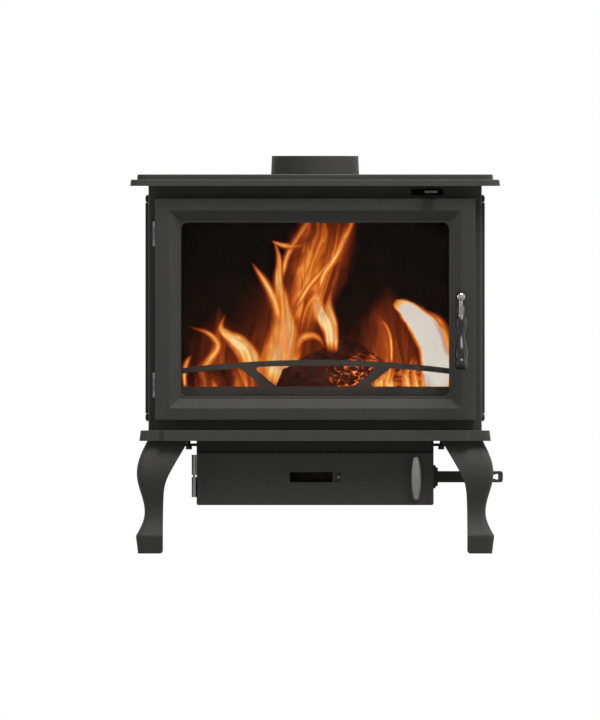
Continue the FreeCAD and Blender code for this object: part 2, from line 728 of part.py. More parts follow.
def tier(inset, low, high):
    """One tier of the top plate, drafted and rounded along its upper edge."""
    half = BODY_HALF + TOP_SIDE_OVERHANG - inset
    front = BODY_FRONT - TOP_FRONT_OVERHANG + inset
    back = BODY_BACK + TOP_REAR_OVERHANG - inset
    wires = []
    for level, draft in ((low, 0.0), (high, TOP_DRAFT)):
        across = (-half + draft, half - draft)
        along = (front + draft, back - draft)
        wires.append(rounded_wire(across, along, TOP_CORNER_RADIUS, at_z(level)))
    solid = Part.makeLoft(wires, True, True)
    return solid.makeFillet(TOP_EDGE_RADIUS, edges_in_plane(solid, "Z", high))


def collar_bolt_places():
    """Centres of the collar bolts."""
    circle = COLLAR_BASE_RADIUS + COLLAR_FLANGE_WIDTH / 2
    places = []
    for index in range(COLLAR_BOLT_COUNT):
        turn = math.radians(45 + 360 / COLLAR_BOLT_COUNT * index)
        places.append((circle * math.cos(turn), FLUE_Y + circle * math.sin(turn)))
    return places


def tie_rod_places():
    """Centres of the tie rods."""
    return [(side * TIE_X, y) for side in (-1, 1) for y in (TIE_FRONT, TIE_REAR)]


def top_plate():
    """Two-tier cast top with the flue hole and blind holes for its fixings."""
    solid = tier(0.0, BODY_TOP, TIER_TOP).fuse(tier(TOP_STEP, BODY_TOP, TOP_FACE)).removeSplitter()
    hole = COLLAR_BASE_RADIUS + SEAT_GAP
    solid = solid.cut(bar((0, FLUE_Y, BODY_TOP - 1), (0, FLUE_Y, TOP_FACE + 1), hole))
    depth = TIE_ROD_TOP_DEPTH + SEAT_GAP
    hole = TIE_ROD_RADIUS + BOLT_CLEARANCE
    for x, y in tie_rod_places() + collar_bolt_places():
        solid = solid.cut(bar((x, y, BODY_TOP - 1), (x, y, BODY_TOP + depth), hole))
    return solid


def flue_collar():
    """Collar that stands through the top plate on a flange below it."""
    flange = COLLAR_BASE_RADIUS + COLLAR_FLANGE_WIDTH
    low = BODY_TOP - COLLAR_FLANGE_THICKNESS
    solid = revolved(outline_edges((
        (FLUE_BORE_RADIUS, low),
        (flange, low),
        (flange, BODY_TOP),
        (COLLAR_BASE_RADIUS, BODY_TOP),
        (COLLAR_BASE_RADIUS, TOP_FACE),
        (COLLAR_BASE_RADIUS - COLLAR_DRAFT, COLLAR_TOP),
        (FLUE_BORE_RADIUS, COLLAR_TOP),
        (FLUE_BORE_RADIUS, low),
    )))
    solid = solid.makeFillet(COLLAR_RIM_RADIUS, edges_in_plane(solid, "Z", COLLAR_TOP))
    solid.translate(Vector(0, FLUE_Y, 0))
    for x, y in collar_bolt_places():
        solid = solid.cut(bar((x, y, low - 1), (x, y, BODY_TOP + 1), TIE_ROD_RADIUS + BOLT_CLEARANCE))
    return solid


def flue_collar_bolts():
    """Bolts that hold the collar up against the top plate."""
    length = COLLAR_FLANGE_THICKNESS + TIE_ROD_TOP_DEPTH
    low = BODY_TOP - COLLAR_FLANGE_THICKNESS
    bolt = hexagon_bolt(TIE_ROD_RADIUS, length, NUT_FLATS, NUT_HEIGHT)
    return Part.makeCompound([aimed(bolt, (x, y, low), (0, 0, 1)) for x, y in collar_bolt_places()])


# Base plate, legs and tie rods

def base_outline(level, draft):
    """Outline of the base plate, with the ash lip standing forward between its corners."""
    half = BASE_HALF - draft
    front = BASE_FRONT + draft
    back = BASE_BACK - draft
    lip = front - ASH_LIP_PROJECTION
    radius = BASE_CORNER_RADIUS
    corner = radius * (1 - math.cos(math.radians(45)))
    ease = ASH_LIP_HALF_WIDTH + ASH_LIP_PROJECTION
    place = at_z(level)
    lines = (
        (place(-half + radius, front), place(-ease, front)),
        (place(-ease, front), place(-ASH_LIP_HALF_WIDTH, lip)),
        (place(-ASH_LIP_HALF_WIDTH, lip), place(ASH_LIP_HALF_WIDTH, lip)),
        (place(ASH_LIP_HALF_WIDTH, lip), place(ease, front)),
        (place(ease, front), place(half - radius, front)),
        (place(half, front + radius), place(half, back - radius)),
        (place(half - radius, back), place(-half + radius, back)),
        (place(-half, back - radius), place(-half, front + radius)),
    )
    edges = [Part.LineSegment(a, b).toShape() for a, b in lines]
    for x_side, y_end, toward in ((1, front, 1), (1, back, -1), (-1, back, -1), (-1, front, 1)):
        first = place(x_side * (half - radius), y_end)
        middle = place(x_side * (half - corner), y_end + toward * corner)
        last = place(x_side * half, y_end + toward * radius)
        edges.append(Part.Arc(first, middle, last).toShape())
    return Part.Wire(Part.__sortEdges__(edges))


def base_plate():
    """Cast base with the ash lip, the grate well and holes for its fixings."""
    outlines = [base_outline(LEG_HEIGHT, 0.0), base_outline(BASE_TOP, BASE_DRAFT)]
    solid = Part.makeLoft(outlines, True, True)
    solid = solid.makeFillet(BASE_EDGE_RADIUS, edges_in_plane(solid, "Z", BASE_TOP))
    through = (LEG_HEIGHT - 1, BASE_TOP + 1)
    well = block((WELL_LEFT, WELL_RIGHT), (WELL_FRONT, WELL_BACK), (GRATE_SEAT, BASE_TOP + 1))
    ash_hole = block(
        (-GRATE_HALF + GRATE_LEDGE_WIDTH, GRATE_HALF - GRATE_LEDGE_WIDTH),
        (GRATE_FRONT + GRATE_LEDGE_WIDTH, GRATE_BACK - GRATE_LEDGE_WIDTH),
        through,
    )
    arm_slot = block(
        (ARM_LEFT - ARM_SLOT_GAP, ARM_RIGHT + RIDDLE_TRAVEL + ARM_SLOT_GAP),
        (GRATE_BACK - GRATE_LEDGE_WIDTH, ARM_SLOT_BACK),
        through,
    )
    solid = solid.cut(well).cut(ash_hole).cut(arm_slot)
    for x, y in tie_rod_places():
        hole = TIE_ROD_RADIUS + BOLT_CLEARANCE
        solid = solid.cut(bar((x, y, through[0]), (x, y, through[1]), hole))
    for x, y in lug_bolt_places():
        hole = LUG_BOLT_RADIUS + BOLT_CLEARANCE
        solid = solid.cut(bar((x, y, through[0]), (x, y, LEG_HEIGHT + LUG_BOLT_DEPTH + SEAT_GAP), hole))
    return solid


def leg_flare(height):
    """How far the outer face of a leg stands out from the base plate's edge at a height."""
    if height <= ANKLE_HEIGHT:
        share = (height - FOOT_HEIGHT) / (ANKLE_HEIGHT - FOOT_HEIGHT)
        return -ANKLE_INSET + (FOOT_FLARE + ANKLE_INSET) * (1 - math.sin(share * math.pi / 2))
    if height <= KNEE_HEIGHT:
        share = (height - ANKLE_HEIGHT) / (KNEE_HEIGHT - ANKLE_HEIGHT)
        return -ANKLE_INSET + (KNEE_FLARE + ANKLE_INSET) * (1 - math.cos(share * math.pi)) / 2
    share = (height - KNEE_HEIGHT) / (LEG_HEIGHT - KNEE_HEIGHT)
    return KNEE_FLARE - (KNEE_FLARE + SHOULDER_INSET) * (1 - math.cos(share * math.pi / 2))


def leg_width(height):
    """How far the inner edge of a leg stands in from the base plate's edge at a height."""
    above = height - BRACE_START
    return FOOT_WIDTH + BRACE_SLOPE * (above + math.hypot(above, BRACE_BLEND)) / 2


def corner_wire(height, flare, others):
    """Closed section with a rounded outer corner, then the other corners in order."""
    place = at_z(height)
    out = -flare
    radius = LEG_CORNER_RADIUS
    bulge = out + radius * (1 - math.cos(math.radians(45)))
    arc = Part.Arc(place(out, out + radius), place(bulge, bulge), place(out + radius, out)).toShape()
    points = [place(out + radius, out)]
    points += [place(u, v) for u, v in others]
    points.append(place(out, out + radius))
    lines = [Part.LineSegment(a, b).toShape() for a, b in zip(points, points[1:])]
    return Part.Wire([arc] + lines)


def angle_section(height):
    """Angle section of the hollow upper leg."""
    flare = leg_flare(height)
    out = -flare
    end = leg_width(height)
    inner = out + LEG_WALL
    corners = ((end, out), (end, inner), (inner, inner), (inner, end), (out, end))
    return corner_wire(height, flare, corners)


def solid_section(height, flare, end):
    """Full square section of the foot and of the flange."""
    out = -flare
    return corner_wire(height, flare, ((end, out), (end, end), (out, end)))


def leg():
    """Cabriole leg whose outer corner stands at the origin, reaching inwards along +X and +Y."""
    foot_end = leg_width(FOOT_HEIGHT)
    foot_wires = [solid_section(0.0, SOLE_FLARE, foot_end), solid_section(FOOT_HEIGHT, FOOT_FLARE, foot_end)]
    foot = Part.makeLoft(foot_wires, True, True)
    inner_edges = []
    for edge in edges_in_plane(foot, "Z", 0.0):
        if max(edge.BoundBox.XMin, edge.BoundBox.YMin) > foot_end - 0.01:
            inner_edges.append(edge)
    foot = foot.makeFillet(SOLE_ROUNDING, inner_edges)
    step = (LEG_HEIGHT - FOOT_HEIGHT) / (LEG_SECTIONS - 1)
    wires = [angle_section(FOOT_HEIGHT + step * index) for index in range(LEG_SECTIONS)]
    shank = Part.makeLoft(wires, True, False)
    flange_low = LEG_HEIGHT - LEG_FLANGE_THICKNESS
    inner = LEG_WALL / 2 - leg_flare(flange_low)
    flange = block((inner, LEG_FLANGE_REACH), (inner, LEG_FLANGE_REACH), (flange_low, LEG_HEIGHT))
    solid = foot.fuse([shank, flange]).removeSplitter()
    brow = []
    for edge in edges_in_plane(solid, "Z", FOOT_HEIGHT):
        if min(edge.BoundBox.XMin, edge.BoundBox.YMin) < -FOOT_FLARE + 0.01:
            brow.append(edge)
    return solid.makeFillet(FOOT_ROUNDING, brow)


def placed_leg(x_side, y_side):
    """Leg under one corner of the base plate, drilled for its tie rod."""
    solid = leg()
    if x_side > 0:
        solid = solid.mirror(Vector(0, 0, 0), Vector(1, 0, 0))
    if y_side > 0:
        solid = solid.mirror(Vector(0, 0, 0), Vector(0, 1, 0))
    solid.translate(Vector(x_side * BASE_HALF, BASE_FRONT if y_side < 0 else BASE_BACK, 0))
    x = x_side * TIE_X
    y = TIE_FRONT if y_side < 0 else TIE_REAR
    low = LEG_HEIGHT - LEG_FLANGE_THICKNESS
    return solid.cut(bar((x, y, low - 1), (x, y, LEG_HEIGHT + 1), TIE_ROD_RADIUS + BOLT_CLEARANCE))


def tie_rods():
    """Rods from below the leg flanges up into the top plate, each with a nut and washer."""
    nut_low = LEG_HEIGHT - LEG_FLANGE_THICKNESS - WASHER_THICKNESS - NUT_HEIGHT
    rod_low = nut_low - WASHER_THICKNESS
    rod_high = BODY_TOP + TIE_ROD_TOP_DEPTH
    bore = TIE_ROD_RADIUS + PIN_CLEARANCE
    washer = Part.makeCylinder(WASHER_RADIUS, WASHER_THICKNESS, Vector(0, 0, NUT_HEIGHT))
    washer = washer.cut(Part.makeCylinder(bore, WASHER_THICKNESS, Vector(0, 0, NUT_HEIGHT)))
    nut = hexagon_nut(NUT_FLATS, NUT_HEIGHT, bore).fuse(washer)
    pieces = []
    for x, y in tie_rod_places():
        pieces.append(bar((x, y, rod_low), (x, y, rod_high), TIE_ROD_RADIUS))
        pieces.append(aimed(nut, (x, y, nut_low), (0, 0, 1)))
    return Part.makeCompound(pieces)


# Firebox body and shields

def front_plate():
    """Front plate with the door opening and the slot of the air slide."""
    solid = block((-BODY_HALF, BODY_HALF), (BODY_FRONT, FRONT_INNER), (BASE_TOP, BODY_TOP))
    uprights = []
    for edge in edges_along(solid, "Z", BODY_HEIGHT):
        if edge.BoundBox.YMax < BODY_FRONT + 0.01:
            uprights.append(edge)
    solid = solid.makeFillet(FRONT_EDGE_RADIUS, uprights)
    through = (BODY_FRONT - 1, FRONT_INNER + 1)
    opening = rounded_plate_y(
        (-OPENING_HALF, OPENING_HALF), (OPENING_LOW, OPENING_HIGH), FRAME_OPENING_RADIUS, through
    )
    slot = rounded_plate_y(
        (SLOT_RIGHT - SLIDE_SLOT_LENGTH, SLOT_RIGHT),
        (SLOT_TOP - SLIDE_SLOT_HEIGHT, SLOT_TOP),
        SLIDE_SLOT_RADIUS,
        through,
    )
    return solid.cut(opening).cut(slot)


def side_wall(side):
    """Steel side wall; side is -1 for left, 1 for right."""
    across = sorted((side * WALL_INNER, side * BODY_HALF))
    return block(across, (FRONT_INNER, BODY_BACK), (BASE_TOP, BODY_TOP))


def back_wall():
    """Steel back wall between the side walls."""
    return block((-WALL_INNER, WALL_INNER), (BACK_INNER, BODY_BACK), (BASE_TOP, BODY_TOP))


def shield_limits():
    """Range of a side shield along Y and Z."""
    along = (BODY_FRONT + SHIELD_FRONT_INSET, BODY_BACK - SHIELD_REAR_INSET)
    upward = (BASE_TOP + SHIELD_BOTTOM_INSET, BODY_TOP - SHIELD_TOP_INSET)
    return along, upward


def shield_screw_places():
    """Fixing points of a side shield as (y, z)."""
    along, upward = shield_limits()
    rows = inset_range(along, SHIELD_SCREW_INSET)
    levels = inset_range(upward, SHIELD_SCREW_INSET)
    return [(y, z) for y in rows for z in levels]


def inset_range(limits, amount):
    """Range shortened by an amount at both ends."""
    return limits[0] + amount, limits[1] - amount


def side_shield(side):
    """Sheet shield with a field pressed outwards and its front and rear edges folded in to the wall."""
    along, upward = shield_limits()
    low = BODY_HALF + SHIELD_STANDOFF
    rim = rounded_plate_x(along, upward, SHIELD_CORNER_RADIUS, (low, low + SHIELD_SHEET))
    field_along = inset_range(along, SHIELD_BORDER)
    field_upward = inset_range(upward, SHIELD_BORDER)
    outer = (low, low + SHIELD_SHEET + SHIELD_EMBOSS)
    field = rounded_plate_x(field_along, field_upward, SHIELD_CORNER_RADIUS, outer)
    hollow = rounded_plate_x(
        inset_range(field_along, SHIELD_SHEET),
        inset_range(field_upward, SHIELD_SHEET),
        SHIELD_CORNER_RADIUS - SHIELD_SHEET,
        (low - 1, low + SHIELD_EMBOSS),
    )
    fold_upward = inset_range(upward, SHIELD_SCREW_INSET + SHIELD_SPACER_RADIUS + SEAT_GAP)
    folds = []
    for edge in (along[0], along[1] - SHIELD_SHEET):
        folds.append(block((BODY_HALF, low + SHIELD_SHEET), (edge, edge + SHIELD_SHEET), fold_upward))
    solid = rim.fuse([field] + folds).removeSplitter().cut(hollow)
    for y, z in shield_screw_places():
        hole = SHIELD_SCREW_RADIUS + BOLT_CLEARANCE
        solid = solid.cut(bar((low - 1, y, z), (low + SHIELD_SHEET + 1, y, z), hole))
    return solid if side > 0 else solid.mirror(Vector(0, 0, 0), Vector(1, 0, 0))


def side_shield_fixings():
    """Spacer rings and rounded screws of both side shields."""
    pieces = []
    ring = Part.makeCylinder(SHIELD_SPACER_RADIUS, SHIELD_STANDOFF)
    ring = ring.cut(Part.makeCylinder(SHIELD_SCREW_RADIUS + PIN_CLEARANCE, SHIELD_STANDOFF))
    length = SHIELD_STANDOFF + SHIELD_SHEET
    screw = dome_screw(SHIELD_SCREW_RADIUS, length, SHIELD_SCREW_HEAD_RADIUS, SHIELD_SCREW_HEAD)
    for side in (-1, 1):
        for y, z in shield_screw_places():
            pieces.append(aimed(ring, (side * BODY_HALF, y, z), (side, 0, 0)))
            pieces.append(aimed(screw, (side * (BODY_HALF + length), y, z), (-side, 0, 0)))
    return pieces


def rear_shield_places():
    """Fixing points of the rear shield as (x, z)."""
    across = BODY_HALF - REAR_SHIELD_SIDE_INSET - REAR_SHIELD_FIXING_INSET
    upward = shield_limits()[1]
    inset = REAR_SHIELD_FIXING_INSET / 2
    return [(side * across, z) for side in (-1, 1) for z in (upward[0] + inset, upward[1] - inset)]


def rear_shield():
    """Rear heat shield with folded sides and two rows of louvre slots."""
    half = BODY_HALF - REAR_SHIELD_SIDE_INSET
    upward = shield_limits()[1]
    front = BODY_BACK + REAR_SHIELD_GAP
    back = front + SHIELD_SHEET
    solid = block((-half, half), (front, back), upward)
    for side in (-1, 1):
        across = sorted((side * half, side * (half - SHIELD_SHEET)))
        solid = solid.fuse(block(across, (front - REAR_SHIELD_RETURN, back), upward))
    solid = solid.removeSplitter()
    first = -LOUVRE_PITCH * (LOUVRE_COUNT - 1) / 2
    for row in (upward[0] + LOUVRE_END_INSET, upward[1] - LOUVRE_END_INSET - LOUVRE_LENGTH):
        for index in range(LOUVRE_COUNT):
            x = first + LOUVRE_PITCH * index
            across = (x - LOUVRE_WIDTH / 2, x + LOUVRE_WIDTH / 2)
            radius = LOUVRE_WIDTH / 2 - PIN_CLEARANCE
            length = (row, row + LOUVRE_LENGTH)
            solid = solid.cut(rounded_plate_y(across, length, radius, (front - 1, back + 1)))
    for x, z in rear_shield_places():
        solid = solid.cut(bar((x, front - 1, z), (x, back + 1, z), SHIELD_SCREW_RADIUS + BOLT_CLEARANCE))
    return solid


def rear_shield_fixings():
    """Spacer tubes and screws of the rear shield."""
    tube = Part.makeCylinder(REAR_SHIELD_SPACER_RADIUS, REAR_SHIELD_GAP)
    tube = tube.cut(Part.makeCylinder(SHIELD_SCREW_RADIUS + PIN_CLEARANCE, REAR_SHIELD_GAP))
    length = REAR_SHIELD_GAP + SHIELD_SHEET
    screw = dome_screw(SHIELD_SCREW_RADIUS, length, SHIELD_SCREW_HEAD_RADIUS, SHIELD_SCREW_HEAD)
    pieces = []
    for x, z in rear_shield_places():
        pieces.append(aimed(tube, (x, BODY_BACK, z), (0, 1, 0)))
        pieces.append(aimed(screw, (x, BODY_BACK + length, z), (0, -1, 0)))
    return pieces


# Firebox lining

def side_bricks():
    """Lining boards beside the two walls."""
    pieces = []
    for side in (-1, 1):
        across = sorted((side * BRICK_INNER, side * (BRICK_INNER + BRICK_THICKNESS)))
        pieces.append(block(across, (BRICK_FRONT, BRICK_REAR), (BASE_TOP, BRICK_TOP)))
    return Part.makeCompound(pieces)


def rear_bricks():
    """Two lining boards in front of the back wall."""
    along = (REAR_BRICK_FRONT, REAR_BRICK_FRONT + BRICK_THICKNESS)
    pieces = []
    for side in (-1, 1):
        across = sorted((side * SEAT_GAP / 2, side * (BRICK_INNER - SEAT_GAP)))
        pieces.append(block(across, along, (BASE_TOP, BRICK_TOP)))
    return Part.makeCompound(pieces)


def floor_bricks():
    """Four floor boards around the grate well."""
    edge = BRICK_INNER - SEAT_GAP
    full = (FLOOR_FRONT, REAR_BRICK_FRONT - SEAT_GAP)
    middle = (WELL_LEFT, WELL_RIGHT)
    boards = (
        ((-edge, WELL_LEFT - SEAT_GAP), full),
        ((WELL_RIGHT + SEAT_GAP, edge), full),
        (middle, (FLOOR_FRONT, WELL_FRONT)),
        (middle, (ARM_SLOT_BACK, REAR_BRICK_FRONT - SEAT_GAP)),
    )
    upward = (BASE_TOP, BASE_TOP + FLOOR_BRICK_THICKNESS)
    return Part.makeCompound([block(across, along, upward) for across, along in boards])


def baffle():
    """Board above the fire that lies on the side and rear lining."""
    half = TIE_X - TIE_ROD_RADIUS - WASHER_THICKNESS
    along = (BODY_FRONT + BAFFLE_FRONT_INSET, BACK_INNER - SEAT_GAP)
    return block((-half, half), along, (BRICK_TOP, BRICK_TOP + BAFFLE_THICKNESS))


def log_fence():
    """Cast fence with an arched upper rail and two raking struts."""
    y = (FENCE_FRONT, FENCE_REAR)
    run = Vector(0, FENCE_THICKNESS, 0)
    solid = block((-FENCE_HALF, FENCE_HALF), y, (BASE_TOP, FENCE_RAIL_TOP))
    centre = FENCE_ARCH_TOP - FENCE_ARCH_RADIUS
    inner = FENCE_ARCH_RADIUS - FENCE_ARCH_THICKNESS

    def arch_height(radius, x):
        return centre + math.sqrt(radius * radius - x * x)

    place = at_y(FENCE_FRONT)
    ends = {}
    for radius in (FENCE_ARCH_RADIUS, inner):
        ends[radius] = [place(x, arch_height(radius, x)) for x in (-FENCE_HALF, 0, FENCE_HALF)]
    upper, lower = ends[FENCE_ARCH_RADIUS], ends[inner]
    arch = Part.Wire([
        Part.Arc(*upper).toShape(),
        Part.LineSegment(upper[2], lower[2]).toShape(),
        Part.Arc(*reversed(lower)).toShape(),
        Part.LineSegment(lower[0], upper[0]).toShape(),
    ])
    solid = solid.fuse(prism(arch, run))
    middle = FENCE_ARCH_THICKNESS / 2
    for side in (-1, 1):
        outer = side * FENCE_HALF
        upright = sorted((outer, outer - side * FENCE_UPRIGHT))
        top = arch_height(inner, FENCE_HALF) + middle
        solid = solid.fuse(block(upright, y, (FENCE_RAIL_TOP - 1, top)))
        foot = side * FENCE_STRUT_FOOT
        head = side * FENCE_STRUT_HEAD
        half = FENCE_STRUT_WIDTH / 2
        head_level = arch_height(inner, FENCE_STRUT_HEAD) + middle
        foot_level = FENCE_RAIL_TOP - middle
        strut = polygon_wire([
            place(foot - half, foot_level),
            place(foot + half, foot_level),
            place(head + half, head_level),
            place(head - half, head_level),
        ])
        solid = solid.fuse(prism(strut, run))
    solid = solid.removeSplitter()
    inner_corners = []
    for edge in edges_along(solid, "Y", FENCE_THICKNESS):
        box = edge.BoundBox
        open_part = FENCE_RAIL_TOP - 0.01 < box.ZMin < FENCE_ARCH_TOP - FENCE_ARCH_THICKNESS + 0.01
        if open_part and abs(box.XMin) < FENCE_HALF - FENCE_UPRIGHT + 0.01:
            inner_corners.append(edge)
    return solid.makeFillet(FENCE_FILLET, inner_corners)


def fence_clips():
    """Two channels on the base plate that hold the foot of the fence."""
    front = FENCE_FRONT - SEAT_GAP
    rear = FENCE_REAR + SEAT_GAP
    sheet = FENCE_CLIP_SHEET
    upward = (BASE_TOP, BASE_TOP + FENCE_CLIP_HEIGHT)
    pieces = []
    for side in (-1, 1):
        middle = side * FENCE_CLIP_OFFSET
        across = (middle - FENCE_CLIP_LENGTH / 2, middle + FENCE_CLIP_LENGTH / 2)
        pieces.append(block(across, (front - sheet, front), upward))
        pieces.append(block(across, (rear, rear + sheet), upward))
    return Part.makeCompound(pieces)


# Air slide and manifold

def port_starts(shift):
    """Left ends of the air ports, shifted along X."""
    last = SLIDE_RIGHT - SLIDE_TAB_WIDTH - PORT_WIDTH / 2
    return [last - PORT_PITCH * index - PORT_WIDTH / 2 + shift for index in range(PORT_COUNT)]


def port_cutters(shift, along):
    """Cutters for the air ports through a plate."""
    low = SLIDE_BOTTOM + PORT_RISE - SEAT_GAP
    cutters = []
    for start in port_starts(shift):
        across = (start, start + PORT_WIDTH)
        cutters.append(block(across, (along[0] - 1, along[1] + 1), (low, low + PORT_HEIGHT)))
    return cutters


def airwash_manifold():
    """Folded channel behind the front plate that feeds air down over the glass, with a rail for the slide."""
    wall = (MANIFOLD_WALL, MANIFOLD_WALL + MANIFOLD_SHEET)
    upward = (MANIFOLD_BOTTOM, BODY_TOP)
    solid = block((-MANIFOLD_HALF, MANIFOLD_HALF), wall, upward)
    floor = (FRONT_INNER + AIRWASH_SLOT, wall[1])
    floor_upward = (MANIFOLD_BOTTOM, MANIFOLD_BOTTOM + MANIFOLD_SHEET)
    solid = solid.fuse(block((-MANIFOLD_HALF, MANIFOLD_HALF), floor, floor_upward))
    for side in (-1, 1):
        across = sorted((side * MANIFOLD_HALF, side * (MANIFOLD_HALF - MANIFOLD_SHEET)))
        solid = solid.fuse(block(across, (FRONT_INNER, wall[1]), upward))
    rail_rear = SLIDE_FRONT - SEAT_GAP
    rail_upward = (MANIFOLD_BOTTOM, floor_upward[1] + SLIDE_GUIDE_HEIGHT)
    rail_across = (SLIDE_RIGHT - SLIDE_PLATE_LENGTH, SLIDE_RIGHT)
    solid = solid.fuse(block(rail_across, (rail_rear - MANIFOLD_SHEET, rail_rear), rail_upward))
    return solid.removeSplitter().cut(port_cutters(0.0, wall))


def air_slide():
    """Slide plate with ports and the flat tab that comes out through the front plate."""
    along = (SLIDE_FRONT, SLIDE_REAR)
    plate = block((SLIDE_RIGHT - SLIDE_PLATE_LENGTH, SLIDE_RIGHT), along, (SLIDE_BOTTOM, SLIDE_TOP))
    plate = plate.cut(port_cutters(PORT_OFFSET, along))
    tab_low = SLOT_MIDDLE - SLIDE_TAB_THICKNESS / 2
    tip = BODY_FRONT - SLIDE_TAB_REACH
    across = (TAB_RIGHT - SLIDE_TAB_WIDTH, TAB_RIGHT)
    tab = block(across, (tip, SLIDE_FRONT), (tab_low, tab_low + SLIDE_TAB_THICKNESS))
    corners = []
    for edge in edges_along(tab, "Z", SLIDE_TAB_THICKNESS):
        if edge.BoundBox.YMax < tip + 0.01:
            corners.append(edge)
    tab = tab.makeFillet(SLIDE_TAB_RADIUS, corners)
    return plate.fuse(tab).removeSplitter()


# Door

def window_range(margin):
    """Ranges of the window along X and Z, widened by a margin."""
    return (-WINDOW_HALF - margin, WINDOW_HALF + margin), (WINDOW_BOTTOM - margin, WINDOW_TOP + margin)


def clip_places():
    """Middle of each glass clip on the edge of the rebate, with its outward direction, as (x, z, u, w)."""
    margin = GLASS_OVERLAP + GLASS_SIDE_GAP
    across, upward = window_range(margin)
    places = []
    for side in (-1, 1):
        x = across[0] if side < 0 else across[1]
        z = upward[0] if side < 0 else upward[1]
        for offset in (-1, 1):
            places.append((x, WINDOW_MIDDLE + offset * CLIP_OFFSET_ALONG_STILE, side, 0))
            places.append((offset * CLIP_OFFSET_ALONG_RAIL, z, 0, side))
    return places


def clip_block(place, inward, outward, half, along):
    """Block across the rebate edge at one clip place."""
    x, z, u, w = place
    if u:
        across = sorted((x - u * inward, x + u * outward))
        return block(across, along, (z - half, z + half))
    upward = sorted((z - w * inward, z + w * outward))
    return block((x - half, x + half), along, upward)


def clip_screw_places():
    """Screw centres of the glass clips as (x, z)."""
    middle = CLIP_LAND / 2
    return [(x + u * middle, z + w * middle) for x, z, u, w in clip_places()]


def door_frame():
    """Door casting: bevelled window, glass rebate, rope groove, hinge notches and lever boss."""
    across = (-DOOR_HALF, DOOR_HALF)
    upward = (DOOR_BOTTOM, DOOR_TOP)
    solid = rounded_plate_y(across, upward, DOOR_CORNER_RADIUS, (DOOR_FRONT, DOOR_REAR))
    solid = solid.makeFillet(DOOR_EDGE_RADIUS, edges_in_plane(solid, "Y", DOOR_FRONT))

    outer_x = inset_range(across, DOOR_SIDE_BORDER)
    outer_z = inset_range(upward, DOOR_RAIL_BORDER)
    inner_x = (-WINDOW_HALF - LIP_SIDE, WINDOW_HALF + LIP_SIDE)
    inner_z = (WINDOW_BOTTOM - LIP_RAIL, WINDOW_TOP + LIP_RAIL)
    bevel = Part.makeLoft([
        rounded_wire(outer_x, outer_z, BEVEL_CORNER_RADIUS, at_y(DOOR_FRONT)),
        rounded_wire(inner_x, inner_z, LIP_EDGE_RADIUS, at_y(LIP_FRONT)),
    ], True, True)
    solid = solid.cut(bevel)
    bead = []
    for edge in edges_in_plane(solid, "Y", DOOR_FRONT):
        box = edge.BoundBox
        inside = abs(box.XMin) < outer_x[1] + 0.01 and abs(box.XMax) < outer_x[1] + 0.01
        if inside and box.ZMin > outer_z[0] - 0.01 and box.ZMax < outer_z[1] + 0.01:
            bead.append(edge)
    solid = solid.makeFillet(BEVEL_EDGE_RADIUS, bead)

    window_x, window_z = window_range(0.0)
    solid = solid.cut(rounded_plate_y(window_x, window_z, WINDOW_RADIUS, (LIP_FRONT - 1, DOOR_REAR + 1)))
    rim = []
    for edge in edges_in_plane(solid, "Y", LIP_FRONT):
        box = edge.BoundBox
        inside = box.XMin > window_x[0] - 0.01 and box.XMax < window_x[1] + 0.01
        if inside and box.ZMin > window_z[0] - 0.01 and box.ZMax < window_z[1] + 0.01:
            rim.append(edge)
    solid = solid.makeFillet(LIP_EDGE_RADIUS, rim)

    rebate_x, rebate_z = window_range(GLASS_OVERLAP + GLASS_SIDE_GAP)
    behind = DOOR_REAR + 1
    solid = solid.cut(rounded_plate_y(rebate_x, rebate_z, GLASS_CORNER_RADIUS, (LIP_REAR, behind)))
    for place in clip_places():
        half = CLIP_WIDTH / 2 + SEAT_GAP
        solid = solid.cut(clip_block(place, 1.0, CLIP_LAND + SEAT_GAP, half, (GLASS_REAR, behind)))
    for x, z in clip_screw_places():
        hole = CLIP_SCREW_RADIUS + PIN_CLEARANCE
        solid = solid.cut(bar((x, GLASS_REAR - CLIP_SCREW_DEPTH - SEAT_GAP, z), (x, behind, z), hole))

    half_groove = ROPE_GROOVE_WIDTH / 2
    groove = (DOOR_REAR - ROPE_GROOVE_DEPTH, behind)
    wide_x = (-ROPE_HALF - half_groove, ROPE_HALF + half_groove)
    wide_z = (ROPE_LOW - half_groove, ROPE_HIGH + half_groove)
    ring = rounded_plate_y(wide_x, wide_z, ROPE_CORNER_RADIUS + half_groove, groove)
    ring = ring.cut(rounded_plate_y(
        inset_range(wide_x, ROPE_GROOVE_WIDTH),
        inset_range(wide_z, ROPE_GROOVE_WIDTH),
        ROPE_CORNER_RADIUS - half_groove,
        groove,
    ))
    solid = solid.cut(ring)

    notch_side = HINGE_X + HINGE_KNUCKLE_RADIUS + HINGE_NOTCH_GAP
    notch_front = HINGE_Y - HINGE_KNUCKLE_RADIUS - HINGE_NOTCH_GAP
    for middle in HINGE_CENTRES:
        reach = HINGE_LENGTH / 2 + HINGE_NOTCH_GAP
        notch = block(
            (-DOOR_HALF - 1, notch_side), (notch_front, DOOR_REAR + 1), (middle - reach, middle + reach)
        )
        solid = solid.cut(notch)

    boss = bar((LEVER_X, DOOR_FRONT - BOSS_RISE, LEVER_Z), (LEVER_X, DOOR_REAR, LEVER_Z), BOSS_RADIUS)
    solid = solid.fuse(boss).removeSplitter()
    bore = SPINDLE_RADIUS + PIN_CLEARANCE
    return solid.cut(bar((LEVER_X, DOOR_FRONT - BOSS_RISE - 1, LEVER_Z), (LEVER_X, behind, LEVER_Z), bore))


def door_glass():
    """Heat-proof pane in the rebate."""
    across, upward = window_range(GLASS_OVERLAP)
    return rounded_plate_y(across, upward, GLASS_CORNER_RADIUS, (GLASS_FRONT, GLASS_REAR))


